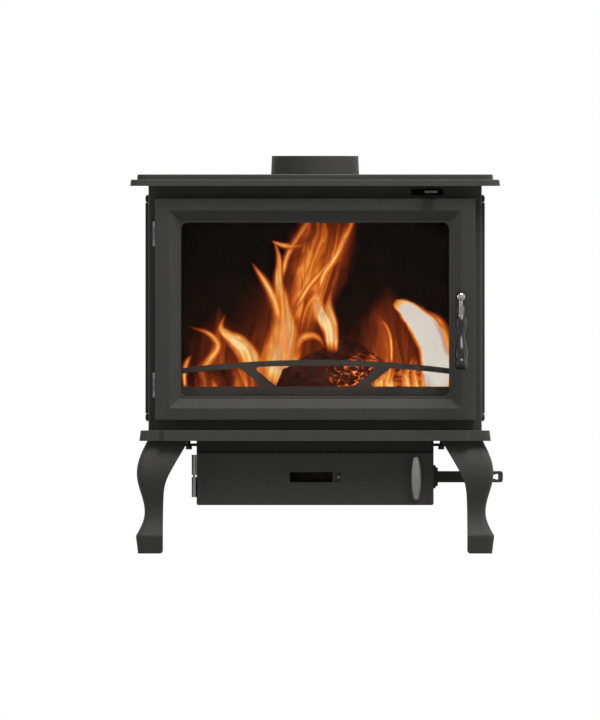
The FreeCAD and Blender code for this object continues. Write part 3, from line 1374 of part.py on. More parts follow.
def glass_tape():
    """Flat tape seal between the lip and the pane."""
    across, upward = window_range(GLASS_OVERLAP)
    along = (LIP_REAR, GLASS_FRONT)
    solid = rounded_plate_y(across, upward, GLASS_CORNER_RADIUS, along)
    hole_x, hole_z = window_range(TAPE_SETBACK)
    return solid.cut(rounded_plate_y(hole_x, hole_z, WINDOW_RADIUS, along))


def glass_clips():
    """Clips that press the pane forward, each lying on a land of the casting."""
    along = (GLASS_REAR, GLASS_REAR + CLIP_THICKNESS)
    hole = CLIP_SCREW_RADIUS + PIN_CLEARANCE
    pieces = []
    for place, (x, z) in zip(clip_places(), clip_screw_places()):
        clip = clip_block(place, GLASS_SIDE_GAP + CLIP_REACH, CLIP_LAND, CLIP_WIDTH / 2, along)
        pieces.append(clip.cut(bar((x, along[0] - 1, z), (x, along[1] + 1, z), hole)))
    return Part.makeCompound(pieces)


def glass_clip_screws():
    """Rounded screws through the glass clips."""
    length = CLIP_THICKNESS + CLIP_SCREW_DEPTH
    screw = dome_screw(CLIP_SCREW_RADIUS, length, CLIP_SCREW_HEAD_RADIUS, CLIP_SCREW_HEAD)
    head_side = GLASS_REAR + CLIP_THICKNESS
    return Part.makeCompound([aimed(screw, (x, head_side, z), (0, -1, 0)) for x, z in clip_screw_places()])


def door_rope():
    """Rope seal in the groove behind the door's edge."""
    y = DOOR_REAR - ROPE_GROOVE_DEPTH + ROPE_RADIUS + PIN_CLEARANCE
    return rope_ring((-ROPE_HALF, ROPE_HALF), (ROPE_LOW, ROPE_HIGH), ROPE_CORNER_RADIUS, y)


def hinge_ranges(middle):
    """Heights of the lower end knuckle, the door knuckle and the upper end knuckle."""
    low = middle - HINGE_LENGTH / 2
    high = middle + HINGE_LENGTH / 2
    lower = (low, low + HINGE_END_KNUCKLE)
    upper = (high - HINGE_END_KNUCKLE, high)
    return lower, (lower[1] + SEAT_GAP, upper[0] - SEAT_GAP), upper


def hinge_column(upward, radius):
    """Round column on the door hinge axis."""
    return bar((HINGE_X, HINGE_Y, upward[0]), (HINGE_X, HINGE_Y, upward[1]), radius)


def hinge_bracket(middle):
    """One bracket on the front plate with two end knuckles."""
    lower, _, upper = hinge_ranges(middle)
    radius = HINGE_KNUCKLE_RADIUS
    across = (HINGE_X - radius, HINGE_X + radius)
    leaf_across = (across[0] - HINGE_LEAF_REACH, across[1])
    leaf_along = (BODY_FRONT - HINGE_LEAF_THICKNESS, BODY_FRONT)
    solid = block(leaf_across, leaf_along, (lower[0], upper[1]))
    for upward in (lower, upper):
        arm = block(across, (HINGE_Y, BODY_FRONT), upward)
        solid = solid.fuse([arm, hinge_column(upward, radius)])
    bore = hinge_column((lower[0] - 1, upper[1] + 1), HINGE_PIN_RADIUS + PIN_CLEARANCE)
    return solid.removeSplitter().cut(bore)


def door_hinge_knuckles():
    """Middle knuckles of both hinges, each with a web to the notch of the door."""
    radius = HINGE_KNUCKLE_RADIUS
    wall = HINGE_X + radius + HINGE_NOTCH_GAP
    pieces = []
    for middle in HINGE_CENTRES:
        upward = hinge_ranges(middle)[1]
        web = block((HINGE_X, wall), (HINGE_Y - radius, HINGE_Y + radius), upward)
        solid = web.fuse(hinge_column(upward, radius)).removeSplitter()
        pieces.append(solid.cut(hinge_column(upward, HINGE_PIN_RADIUS + PIN_CLEARANCE)))
    return Part.makeCompound(pieces)


def hinge_pins():
    """Pins of both door hinges, flush with the end knuckles."""
    half = HINGE_LENGTH / 2
    return Part.makeCompound([hinge_column((z - half, z + half), HINGE_PIN_RADIUS) for z in HINGE_CENTRES])


# Door lever and latch

def lever_placed(shape):
    """Moves a lever piece, built upwards from the ball's centre, to its tilted place."""
    tilt = math.radians(LEVER_TILT)
    direction = (0, -math.sin(tilt), -math.cos(tilt))
    return aimed(shape, tuple(LEVER_CENTRE), direction)


def lever_stem():
    """Plated ball, neck, hexagon collar and bead, with the stud that carries the grip."""
    collar_flats = LEVER_COLLAR_CORNER * math.sqrt(3)
    collar = hexagon(collar_flats, LEVER_COLLAR_END - LEVER_NECK_END, LEVER_NECK_END)
    bead_length = LEVER_BEAD_END - LEVER_COLLAR_END
    bead = Part.makeCylinder(LEVER_BEAD_RADIUS, bead_length, Vector(0, 0, LEVER_COLLAR_END))
    bead = bead.makeFillet(LEVER_BEAD_ROUNDING, edges_in_plane(bead, "Z", LEVER_BEAD_END))
    neck = Part.makeCylinder(LEVER_NECK_RADIUS, LEVER_NECK_END)
    stud = Part.makeCylinder(LEVER_STUD_RADIUS, LEVER_STUD_END)
    solid = Part.makeSphere(LEVER_BALL_RADIUS).fuse([neck, collar, bead, stud]).removeSplitter()
    solid = lever_placed(solid)
    mouth = (LEVER_X, LEVER_Y + LEVER_BALL_RADIUS + 1, LEVER_Z)
    return solid.cut(bar(LEVER_CENTRE, mouth, SPINDLE_RADIUS + PIN_CLEARANCE))


def lever_grip():
    """Turned grip: rim, flare, waist, belly, groove and foot."""
    start = LEVER_BEAD_END
    curve = Part.BSplineCurve()
    curve.interpolate([Vector(radius, 0, start + along) for radius, along in (
        (GRIP_RIM_RADIUS, 0.0),
        (GRIP_FLARE_RADIUS, GRIP_FLARE_AT),
        (GRIP_WAIST_RADIUS, GRIP_WAIST_AT),
        (GRIP_BELLY_RADIUS, GRIP_BELLY_AT),
        (GRIP_GROOVE_RADIUS, GRIP_GROOVE_AT),
    )])
    end = start + GRIP_LENGTH
    groove = Vector(GRIP_GROOVE_RADIUS, 0, start + GRIP_GROOVE_AT)
    foot = Vector(GRIP_FOOT_RADIUS, 0, start + GRIP_FOOT_AT)
    sole = Vector(GRIP_END_RADIUS, 0, end)
    bore_radius = LEVER_STUD_RADIUS + PIN_CLEARANCE
    bore_end = LEVER_STUD_END + SEAT_GAP
    edges = [curve.toShape(), Part.Arc(groove, foot, sole).toShape()]
    edges += outline_edges((
        (GRIP_END_RADIUS, end),
        (0.0, end),
        (0.0, bore_end),
        (bore_radius, bore_end),
        (bore_radius, start),
        (GRIP_RIM_RADIUS, start),
    ))
    return lever_placed(revolved(edges))


def lever_spindle():
    """Stepped spindle from the ball through the door to the latch tongue."""
    def length(start, end, radius):
        return bar((LEVER_X, start, LEVER_Z), (LEVER_X, end, LEVER_Z), radius)

    collar = length(DOOR_REAR + SEAT_GAP, DOOR_REAR + SEAT_GAP + SPINDLE_COLLAR, SPINDLE_COLLAR_RADIUS)
    shank = length(LEVER_Y, TONGUE_FRONT, SPINDLE_RADIUS)
    seat = length(TONGUE_FRONT, TONGUE_REAR, SPINDLE_SEAT_RADIUS)
    thread = length(TONGUE_REAR, TONGUE_REAR + SPINDLE_NUT_HEIGHT + 1, SPINDLE_THREAD_RADIUS)
    return shank.fuse([collar, seat, thread]).removeSplitter()


def tongue(centre, along, half, reach, bore):
    """Latch tongue with rounded ends that points up from its spindle."""
    x, z = centre
    solid = rounded_plate_y((x - half, x + half), (z - half, z + reach), half - PIN_CLEARANCE, along)
    return solid.cut(bar((x, along[0] - 1, z), (x, along[1] + 1, z), bore + PIN_CLEARANCE))


def latch_tongue():
    """Tongue on the inner end of the lever spindle."""
    along = (TONGUE_FRONT, TONGUE_REAR)
    return tongue((LEVER_X, LEVER_Z), along, TONGUE_HALF_WIDTH, TONGUE_REACH, SPINDLE_SEAT_RADIUS)


def spindle_nut():
    """Nut behind the latch tongue."""
    nut = hexagon_nut(SPINDLE_NUT_FLATS, SPINDLE_NUT_HEIGHT, SPINDLE_THREAD_RADIUS + PIN_CLEARANCE)
    return aimed(nut, (LEVER_X, TONGUE_REAR, LEVER_Z), (0, 1, 0))


def latch_keeper():
    """Wear plate behind the front plate that the tongue turns behind."""
    low = LEVER_Z - TONGUE_HALF_WIDTH
    across = (OPENING_HALF, OPENING_HALF + KEEPER_WIDTH)
    return block(across, (FRONT_INNER, FRONT_INNER + KEEPER_THICKNESS), (low, low + KEEPER_HEIGHT))


# Riddling grate, arm and bar

def riddling_grate():
    """Cast grate with slots, a rim and a rear lug for the arm."""
    across = (-GRATE_HALF, GRATE_HALF)
    solid = block(across, (GRATE_FRONT, GRATE_BACK), (GRATE_BOTTOM, GRATE_TOP))
    solid = solid.fuse(block((ARM_LEFT, ARM_RIGHT), (GRATE_BACK - 1, ARM_FRONT), (GRATE_BOTTOM, GRATE_TOP)))
    solid = solid.removeSplitter()
    for start in grate_slot_starts():
        slot = (start, start + GRATE_SLOT_WIDTH)
        along = (GRATE_FRONT + GRATE_RIM, GRATE_BACK - GRATE_RIM)
        solid = solid.cut(block(slot, along, (GRATE_BOTTOM - 1, GRATE_TOP + 1)))
    hole = ARM_BOLT_RADIUS + BOLT_CLEARANCE
    inner = (ARM_MIDDLE, GRATE_BACK - GRATE_RIM / 2, ARM_GRATE_BOLT_Z)
    return solid.cut(bar(inner, (ARM_MIDDLE, ARM_FRONT + 1, ARM_GRATE_BOLT_Z), hole))


def grate_slot_starts():
    """Left ends of the grate slots, evenly spaced between the rims."""
    usable = GRATE_LENGTH - 2 * GRATE_RIM
    web = (usable - GRATE_SLOT_COUNT * GRATE_SLOT_WIDTH) / (GRATE_SLOT_COUNT - 1)
    first = -GRATE_HALF + GRATE_RIM
    return [first + index * (GRATE_SLOT_WIDTH + web) for index in range(GRATE_SLOT_COUNT)]


def riddling_arm():
    """Upright strap that joins the grate to the bar."""
    low = BAR_Z - BAR_HEIGHT / 2
    solid = block((ARM_LEFT, ARM_RIGHT), (ARM_FRONT, ARM_REAR), (low, GRATE_TOP))
    for z in (BAR_Z, ARM_GRATE_BOLT_Z):
        hole = ARM_BOLT_RADIUS + BOLT_CLEARANCE
        solid = solid.cut(bar((ARM_MIDDLE, ARM_FRONT - 1, z), (ARM_MIDDLE, ARM_REAR + 1, z), hole))
    return solid


def riddling_arm_bolts():
    """Bolts that hold the arm to the grate and to the bar."""
    upper_length = ARM_THICKNESS + GRATE_RIM
    upper = hexagon_bolt(ARM_BOLT_RADIUS, upper_length, ARM_BOLT_FLATS, ARM_BOLT_HEAD)
    lower = hexagon_bolt(ARM_BOLT_RADIUS, ARM_THICKNESS + BAR_THICKNESS, ARM_BOLT_FLATS, ARM_BOLT_HEAD)
    return Part.makeCompound([
        aimed(upper, (ARM_MIDDLE, ARM_REAR, ARM_GRATE_BOLT_Z), (0, -1, 0)),
        aimed(lower, (ARM_MIDDLE, ARM_FRONT, BAR_Z), (0, 1, 0)),
    ])


def riddling_bar():
    """Flat bar that comes out on the right, with a tapered pull hole near its end."""
    along = (BAR_FRONT, BAR_FRONT + BAR_THICKNESS)
    half = BAR_HEIGHT / 2
    solid = block((BAR_INNER_END, BAR_END), along, (BAR_Z - half, BAR_Z + half))
    corners = []
    for edge in edges_along(solid, "Y", BAR_THICKNESS):
        if edge.BoundBox.XMin > BAR_END - 0.01:
            corners.append(edge)
    solid = solid.makeFillet(BAR_END_RADIUS, corners)
    right = BAR_END - PULL_HOLE_RIM
    left = right - PULL_HOLE_LENGTH
    place = at_y(along[0] - 1)
    hole = prism(polygon_wire([
        place(left, BAR_Z - PULL_HOLE_APEX / 2),
        place(right, BAR_Z - PULL_HOLE_HEIGHT / 2),
        place(right, BAR_Z + PULL_HOLE_HEIGHT / 2),
        place(left, BAR_Z + PULL_HOLE_APEX / 2),
    ]), Vector(0, BAR_THICKNESS + 2, 0))
    hole = hole.makeFillet(PULL_HOLE_RADIUS, edges_along(hole, "Y", BAR_THICKNESS + 2))
    solid = solid.cut(hole)
    bolt_hole = ARM_BOLT_RADIUS + BOLT_CLEARANCE
    return solid.cut(bar((ARM_MIDDLE, along[0] - 1, BAR_Z), (ARM_MIDDLE, along[1] + 1, BAR_Z), bolt_hole))


def bar_slot(across):
    """Cutter for the slot that the riddling bar slides in."""
    half = BAR_HEIGHT / 2 + SEAT_GAP
    along = (BAR_FRONT - SEAT_GAP, BAR_FRONT + BAR_THICKNESS + SEAT_GAP)
    return block((across[0] - 1, across[1] + 1), along, (BAR_Z - half, BAR_Z + half))


def guide_screw_places():
    """Screw centres of the bar guide as (y, z)."""
    y = GUIDE_PLATE_WIDTH / 2 - GUIDE_SCREW_INSET
    z = GUIDE_PLATE_HEIGHT / 2 - GUIDE_SCREW_INSET
    return [(BAR_Y + a * y, BAR_Z + b * z) for a in (-1, 1) for b in (-1, 1)]


def bar_guide():
    """Flanged guide on the ash box that the bar slides through, with its four screws."""
    plate_x = (BOX_HALF, BOX_HALF + GUIDE_PLATE)
    boss_x = (BOX_HALF, BOX_HALF + GUIDE_PLATE + GUIDE_BOSS)

    def centred(across, width, height):
        along = (BAR_Y - width / 2, BAR_Y + width / 2)
        return block(across, along, (BAR_Z - height / 2, BAR_Z + height / 2))

    solid = centred(plate_x, GUIDE_PLATE_WIDTH, GUIDE_PLATE_HEIGHT)
    solid = solid.fuse(centred(boss_x, GUIDE_BOSS_WIDTH, GUIDE_BOSS_HEIGHT)).removeSplitter()
    solid = solid.cut(bar_slot(boss_x))
    for y, z in guide_screw_places():
        hole = GUIDE_SCREW_RADIUS + BOLT_CLEARANCE
        solid = solid.cut(bar((plate_x[0] - 1, y, z), (plate_x[1] + 1, y, z), hole))
    length = GUIDE_PLATE + ASH_BOX_SHEET
    screw = dome_screw(GUIDE_SCREW_RADIUS, length, GUIDE_SCREW_HEAD_RADIUS, GUIDE_SCREW_HEAD)
    screws = [aimed(screw, (plate_x[1], y, z), (-1, 0, 0)) for y, z in guide_screw_places()]
    return Part.makeCompound([solid] + screws)


# Ash box and pan

def lug_bolt_places():
    """Centres of the bolts that hang the ash box under the base."""
    return [(side * LUG_BOLT_X, y) for side in (-1, 1) for y in LUG_PLACES]


def ash_box():
    """Sheet box open at the top, with flanges round its mouth and lugs on both sides."""
    sheet = ASH_BOX_SHEET
    across = (-BOX_HALF, BOX_HALF)
    along = (BOX_FRONT, BOX_BACK)
    upward = (BOX_BOTTOM, LEG_HEIGHT)
    solid = block(across, along, upward)
    inner = block(
        inset_range(across, sheet), inset_range(along, sheet), (BOX_BOTTOM + sheet, LEG_HEIGHT + 1)
    )
    mouth = block(
        (-BOX_MOUTH_HALF, BOX_MOUTH_HALF),
        (BOX_FRONT - 1, BOX_FRONT + sheet + 1),
        (BOX_MOUTH_LOW, BOX_MOUTH_HIGH),
    )
    solid = solid.cut([inner, mouth])
    for side in (-1, 1):
        reach = sorted((side * BOX_HALF, side * (BOX_HALF + LUG_REACH)))
        for y in LUG_PLACES:
            lug = block(reach, (y - LUG_LENGTH / 2, y + LUG_LENGTH / 2), (LUG_TOP - LUG_THICKNESS, LUG_TOP))
            solid = solid.fuse(lug)
    solid = solid.removeSplitter()
    for x, y in lug_bolt_places():
        hole = LUG_BOLT_RADIUS + BOLT_CLEARANCE
        solid = solid.cut(bar((x, y, LUG_TOP - LUG_THICKNESS - 1), (x, y, LUG_TOP + 1), hole))
    solid = solid.cut(bar_slot((BOX_HALF - sheet, BOX_HALF)))
    for y, z in guide_screw_places():
        hole = GUIDE_SCREW_RADIUS + PIN_CLEARANCE
        solid = solid.cut(bar((BOX_HALF - sheet - 1, y, z), (BOX_HALF + 1, y, z), hole))
    return solid


def ash_box_bolts():
    """Bolts up through the lugs into the base plate."""
    length = LUG_THICKNESS + LUG_DROP + LUG_BOLT_DEPTH
    bolt = hexagon_bolt(LUG_BOLT_RADIUS, length, LUG_BOLT_FLATS, LUG_BOLT_HEAD)
    low = LUG_TOP - LUG_THICKNESS
    return Part.makeCompound([aimed(bolt, (x, y, low), (0, 0, 1)) for x, y in lug_bolt_places()])


def ash_pan_runners():
    """Two raised runners on the floor of the ash box."""
    low = BOX_BOTTOM + ASH_BOX_SHEET
    pieces = []
    for side in (-1, 1):
        outer = PAN_HALF - RUNNER_SIDE_GAP
        across = sorted((side * outer, side * (outer - RUNNER_WIDTH)))
        pieces.append(block(across, (BOX_FRONT + ASH_BOX_SHEET, PAN_BACK), (low, low + RUNNER_HEIGHT)))
    return Part.makeCompound(pieces)


def ash_pan():
    """Sheet pan with a folded pull on its front."""
    across = (-PAN_HALF, PAN_HALF)
    along = (PAN_FRONT, PAN_BACK)
    solid = block(across, along, (PAN_BOTTOM, PAN_BOTTOM + PAN_HEIGHT))
    floor = PAN_BOTTOM + PAN_SHEET
    inner = block(inset_range(across, PAN_SHEET), inset_range(along, PAN_SHEET), (floor, floor + PAN_HEIGHT))
    solid = solid.cut(inner)
    half = PAN_PULL_WIDTH / 2
    top = PAN_BOTTOM + PAN_HEIGHT
    front = PAN_FRONT - PAN_PULL_REACH
    ledge = block((-half, half), (front, PAN_FRONT), (top - PAN_SHEET, top))
    drop = block((-half, half), (front, front + PAN_SHEET), (top - PAN_PULL_HEIGHT, top))
    return solid.fuse([ledge, drop]).removeSplitter()


# Ash door

def ash_door_panel():
    """Folded panel with the air slot, a rose under the knob and the spindle bore."""
    across = (-ASH_DOOR_HALF, ASH_DOOR_HALF)
    upward = (ASH_DOOR_BOTTOM, ASH_DOOR_TOP)
    solid = rounded_plate_y(across, upward, ASH_DOOR_CORNER_RADIUS, (ASH_DOOR_FRONT, ASH_DOOR_REAR))
    solid = solid.makeFillet(ASH_DOOR_EDGE_RADIUS, edges_in_plane(solid, "Y", ASH_DOOR_FRONT))
    behind = ASH_DOOR_REAR + 1
    hollow = block(
        inset_range(across, ASH_DOOR_SHEET), (ASH_SHEET_REAR, behind), inset_range(upward, ASH_DOOR_SHEET)
    )
    slot = rounded_plate_y(
        (AIR_SLOT_LEFT, AIR_SLOT_RIGHT),
        (AIR_SLOT_Z - AIR_SLOT_HEIGHT / 2, AIR_SLOT_Z + AIR_SLOT_HEIGHT / 2),
        AIR_SLOT_RADIUS,
        (ASH_DOOR_FRONT - 1, ASH_SHEET_REAR + 1),
    )
    solid = solid.cut([hollow, slot])
    rose_front = ASH_DOOR_FRONT - KNOB_ROSE
    rose = bar((KNOB_X, rose_front, KNOB_Z), (KNOB_X, ASH_SHEET_REAR, KNOB_Z), KNOB_ROSE_RADIUS)
    solid = solid.fuse(rose).removeSplitter()
    bore = KNOB_SPINDLE_RADIUS + PIN_CLEARANCE
    return solid.cut(bar((KNOB_X, rose_front - 1, KNOB_Z), (KNOB_X, behind, KNOB_Z), bore))


def ash_door_seal():
    """Rope seal inside the folded edge of the ash door."""
    across = inset_range((-ASH_DOOR_HALF, ASH_DOOR_HALF), ASH_SEAL_INSET)
    upward = inset_range((ASH_DOOR_BOTTOM, ASH_DOOR_TOP), ASH_SEAL_INSET)
    y = BOX_FRONT - SEAT_GAP - ROPE_RADIUS
    return rope_ring(across, upward, ASH_SEAL_CORNER_RADIUS, y)


def ash_column(upward, radius):
    """Round column on the ash door's hinge axis."""
    return bar((ASH_HINGE_X, ASH_HINGE_Y, upward[0]), (ASH_HINGE_X, ASH_HINGE_Y, upward[1]), radius)


def ash_hinge_upper():
    """Upper knuckle with a tab welded to the edge of the ash door."""
    upward = (ASH_KNUCKLE_MIDDLE, ASH_KNUCKLE_TOP)
    half = ASH_LEAF_THICKNESS
    tab = block((ASH_HINGE_X, -ASH_DOOR_HALF), (ASH_HINGE_Y - half, ASH_HINGE_Y + half), upward)
    solid = ash_column(upward, ASH_KNUCKLE_RADIUS).fuse(tab).removeSplitter()
    socket = (upward[0], upward[1] - ASH_LEAF_THICKNESS)
    return solid.cut(ash_column(socket, ASH_HINGE_PIN_RADIUS + PIN_CLEARANCE))


def ash_hinge_lower():
    """Lower knuckle with a leaf along the side of the ash box and the pin that carries the door."""
    upward = (ASH_KNUCKLE_LOWER_BOTTOM, ASH_KNUCKLE_LOWER_TOP)
    leaf_x = (-BOX_HALF - ASH_LEAF_THICKNESS, -BOX_HALF)
    leaf = block(leaf_x, (ASH_HINGE_Y, ASH_HINGE_Y + ASH_LEAF_LENGTH), upward)
    pin_top = ASH_KNUCKLE_TOP - ASH_LEAF_THICKNESS - SEAT_GAP
    pin = ash_column((ASH_KNUCKLE_LOWER_BOTTOM, pin_top), ASH_HINGE_PIN_RADIUS)
    return ash_column(upward, ASH_KNUCKLE_RADIUS).fuse([leaf, pin]).removeSplitter()


def air_shutter():
    """Flat shutter behind the air slot."""
    along = (SHUTTER_FRONT, SHUTTER_REAR)
    solid = block((SHUTTER_LEFT, SHUTTER_RIGHT), along, (SHUTTER_LOW, SHUTTER_HIGH))
    hole = SHUTTER_STEM_RADIUS + PIN_CLEARANCE
    middle = SHUTTER_BUTTON_X
    return solid.cut(bar((middle, along[0] - 1, AIR_SLOT_Z), (middle, along[1] + 1, AIR_SLOT_Z), hole))


def shutter_button():
    """Rounded button in front of the slot, with its stem through the shutter."""
    seat = ASH_DOOR_FRONT - SEAT_GAP
    length = SHUTTER_REAR - seat
    screw = dome_screw(SHUTTER_STEM_RADIUS, length, SHUTTER_BUTTON_RADIUS, SHUTTER_BUTTON)
    shoulder = Part.makeCylinder(SHUTTER_SHOULDER_RADIUS, SHUTTER_FRONT - seat)
    return aimed(screw.fuse(shoulder).removeSplitter(), (SHUTTER_BUTTON_X, seat, AIR_SLOT_Z), (0, 1, 0))


def shutter_rails():
    """Rails above and below the shutter, each with a lip behind it."""
    across = (SHUTTER_LEFT - SHUTTER_TRAVEL, SHUTTER_RIGHT)
    lip_along = (SHUTTER_REAR + SEAT_GAP, SHUTTER_REAR + SEAT_GAP + SHUTTER_RAIL_LIP)
    full_along = (ASH_SHEET_REAR, lip_along[1])
    pieces = []
    for edge, side in ((SHUTTER_HIGH, 1), (SHUTTER_LOW, -1)):
        near = edge + side * SEAT_GAP
        far = near + side * SHUTTER_RAIL_HEIGHT
        lip = edge - side * SHUTTER_LIP_OVERLAP
        web = block(across, full_along, sorted((near, far)))
        pieces.append(web.fuse(block(across, lip_along, sorted((lip, far)))).removeSplitter())
    return Part.makeCompound(pieces)


def ash_knob():
    """Oval knob that stands upright, turned about its long axis."""
    half = KNOB_HEIGHT / 2
    shoulder = half - KNOB_END_RISE
    cap_radius = (KNOB_END_RADIUS ** 2 + KNOB_END_RISE ** 2) / (2 * KNOB_END_RISE)
    turn = math.asin(KNOB_END_RADIUS / cap_radius) / 2
    cap_x = cap_radius * math.sin(turn)
    cap_z = half - cap_radius + cap_radius * math.cos(turn)
    top = Vector(KNOB_END_RADIUS, 0, shoulder)
    bottom = Vector(KNOB_END_RADIUS, 0, -shoulder)
    edges = [
        Part.Arc(bottom, Vector(KNOB_RADIUS, 0, 0), top).toShape(),
        Part.Arc(top, Vector(cap_x, 0, cap_z), Vector(0, 0, half)).toShape(),
        Part.LineSegment(Vector(0, 0, half), Vector(0, 0, -half)).toShape(),
        Part.Arc(Vector(0, 0, -half), Vector(cap_x, 0, -cap_z), bottom).toShape(),
    ]
    solid = revolved(edges)
    solid.translate(Vector(KNOB_X, KNOB_Y, KNOB_Z))
    bore = KNOB_SPINDLE_RADIUS + PIN_CLEARANCE
    return solid.cut(bar((KNOB_X, KNOB_Y, KNOB_Z), (KNOB_X, KNOB_Y + KNOB_RADIUS + 1, KNOB_Z), bore))


def ash_knob_spindle():
    """Stepped spindle from the oval knob to the ash latch."""
    def length(start, end, radius):
        return bar((KNOB_X, start, KNOB_Z), (KNOB_X, end, KNOB_Z), radius)

    shank = length(KNOB_Y, ASH_TONGUE_FRONT, KNOB_SPINDLE_RADIUS)
    rose_front = ASH_DOOR_FRONT - KNOB_ROSE
    shoulder = length(KNOB_Y + KNOB_RADIUS, rose_front - SEAT_GAP, KNOB_SHOULDER_RADIUS)
    thread = length(ASH_TONGUE_FRONT, ASH_TONGUE_REAR + ASH_NUT_HEIGHT + 1, KNOB_THREAD_RADIUS)
    return shank.fuse([shoulder, thread]).removeSplitter()


def ash_latch_tongue():
    """Tongue on the inner end of the knob spindle."""
    along = (ASH_TONGUE_FRONT, ASH_TONGUE_REAR)
    return tongue((KNOB_X, KNOB_Z), along, ASH_TONGUE_HALF_WIDTH, ASH_TONGUE_REACH, KNOB_THREAD_RADIUS)


def ash_spindle_nut():
    """Nut behind the ash latch tongue."""
    nut = hexagon_nut(ASH_NUT_FLATS, ASH_NUT_HEIGHT, KNOB_THREAD_RADIUS + PIN_CLEARANCE)
    return aimed(nut, (KNOB_X, ASH_TONGUE_REAR, KNOB_Z), (0, 1, 0))


def all_nodes():
    """Every piece of the stove by name."""
    return {
        "top_plate": top_plate(),
        "flue_collar": flue_collar(),
        "flue_collar_bolts": flue_collar_bolts(),
        "base_plate": base_plate(),
        "leg_front_left": placed_leg(-1, -1),
        "leg_front_right": placed_leg(1, -1),
        "leg_rear_left": placed_leg(-1, 1),
        "leg_rear_right": placed_leg(1, 1),
        "tie_rods": tie_rods(),
        "front_plate": front_plate(),
        "side_wall_left": side_wall(-1),
        "side_wall_right": side_wall(1),
        "back_wall": back_wall(),
        "side_shield_left": side_shield(-1),
        "side_shield_right": side_shield(1),
        "rear_shield": rear_shield(),
        "shield_fixings": Part.makeCompound(side_shield_fixings() + rear_shield_fixings()),
        "side_bricks": side_bricks(),
        "rear_bricks": rear_bricks(),
        "floor_bricks": floor_bricks(),
        "baffle": baffle(),
        "log_fence": log_fence(),
        "fence_clips": fence_clips(),
        "airwash_manifold": airwash_manifold(),
        "air_slide": air_slide(),
        "door_frame": door_frame(),
        "door_glass": door_glass(),
        "glass_tape": glass_tape(),
        "glass_clips": glass_clips(),
        "glass_clip_screws": glass_clip_screws(),
        "door_rope": door_rope(),
        "hinge_brackets": Part.makeCompound([hinge_bracket(middle) for middle in HINGE_CENTRES]),
        "door_hinge_knuckles": door_hinge_knuckles(),
        "hinge_pins": hinge_pins(),
        "lever_stem": lever_stem(),
        "lever_grip": lever_grip(),
        "lever_spindle": lever_spindle(),
        "latch_tongue": latch_tongue(),
        "spindle_nut": spindle_nut(),
        "latch_keeper": latch_keeper(),
        "riddling_grate": riddling_grate(),
        "riddling_arm": riddling_arm(),
        "riddling_arm_bolts": riddling_arm_bolts(),
        "riddling_bar": riddling_bar(),
        "bar_guide": bar_guide(),
        "ash_box": ash_box(),
        "ash_box_bolts": ash_box_bolts(),
        "ash_pan_runners": ash_pan_runners(),
        "ash_pan": ash_pan(),
        "ash_door_panel": ash_door_panel(),
        "ash_door_seal": ash_door_seal(),
        "ash_hinge_upper": ash_hinge_upper(),
        "ash_hinge_lower": ash_hinge_lower(),
        "air_shutter": air_shutter(),
        "shutter_button": shutter_button(),
        "shutter_rails": shutter_rails(),
        "ash_knob": ash_knob(),
        "ash_knob_spindle": ash_knob_spindle(),
        "ash_latch_tongue": ash_latch_tongue(),
        "ash_spindle_nut": ash_spindle_nut(),
    }


os.makedirs("parts", exist_ok=True)
for name, shape in all_nodes().items():
    shape.exportStep("parts/" + name + ".step")
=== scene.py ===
import json
import math
import random

import bmesh
import bpy
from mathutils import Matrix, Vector
from mathutils import noise as field

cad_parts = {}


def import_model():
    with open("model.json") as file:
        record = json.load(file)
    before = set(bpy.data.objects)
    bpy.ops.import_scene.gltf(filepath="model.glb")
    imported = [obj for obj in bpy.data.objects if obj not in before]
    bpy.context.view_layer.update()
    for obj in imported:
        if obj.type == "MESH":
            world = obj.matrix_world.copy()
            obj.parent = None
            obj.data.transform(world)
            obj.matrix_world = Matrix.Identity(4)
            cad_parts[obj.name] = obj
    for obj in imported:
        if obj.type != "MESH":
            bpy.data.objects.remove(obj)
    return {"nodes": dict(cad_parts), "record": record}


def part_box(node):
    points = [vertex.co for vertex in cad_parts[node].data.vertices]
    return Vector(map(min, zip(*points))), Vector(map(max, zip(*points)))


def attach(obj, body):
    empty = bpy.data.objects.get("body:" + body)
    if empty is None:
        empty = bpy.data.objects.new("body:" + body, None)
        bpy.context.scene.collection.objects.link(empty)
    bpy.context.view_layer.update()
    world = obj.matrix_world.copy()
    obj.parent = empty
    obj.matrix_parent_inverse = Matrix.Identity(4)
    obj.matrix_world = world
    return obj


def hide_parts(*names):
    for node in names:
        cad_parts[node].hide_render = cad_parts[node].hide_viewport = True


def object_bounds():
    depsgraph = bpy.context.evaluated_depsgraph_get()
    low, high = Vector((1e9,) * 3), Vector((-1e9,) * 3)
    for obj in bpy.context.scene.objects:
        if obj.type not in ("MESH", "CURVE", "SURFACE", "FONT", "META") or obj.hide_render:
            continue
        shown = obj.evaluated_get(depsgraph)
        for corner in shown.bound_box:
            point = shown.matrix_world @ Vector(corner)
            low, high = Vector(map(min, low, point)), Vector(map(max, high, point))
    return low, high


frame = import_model()
CAD_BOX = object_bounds()
NODES = frame["nodes"]
MM = 0.001

# Camera: a level view from the front, without perspective
PHOTO_WIDTH = 600
PHOTO_HEIGHT = 720
METRES_PER_PIXEL = 0.001838
STOVE_MIDDLE_PIXEL = 315.1
GROUND_PIXEL = 553.6
CAMERA_DISTANCE = 4.0
CAMERA_REACH = 50.0

# Lamps: place and size in metres, power in watts
LAMPS = {
    "key": ((0.95, -1.20, 3.25), (2.0, 1.7), 155.0),
    "front": ((0.0, -3.5, 0.7), (3.0, 1.4), 6.0),
    "left_strip": ((-2.4, -1.0, 0.9), (0.7, 2.0), 15.0),
    "right_strip": ((2.5, -0.7, 0.9), (0.7, 2.0), 13.0),
    "rear": ((0.3, 2.8, 2.4), (2.6, 1.8), 60.0),
}
WORLD_STRENGTH = 0.06

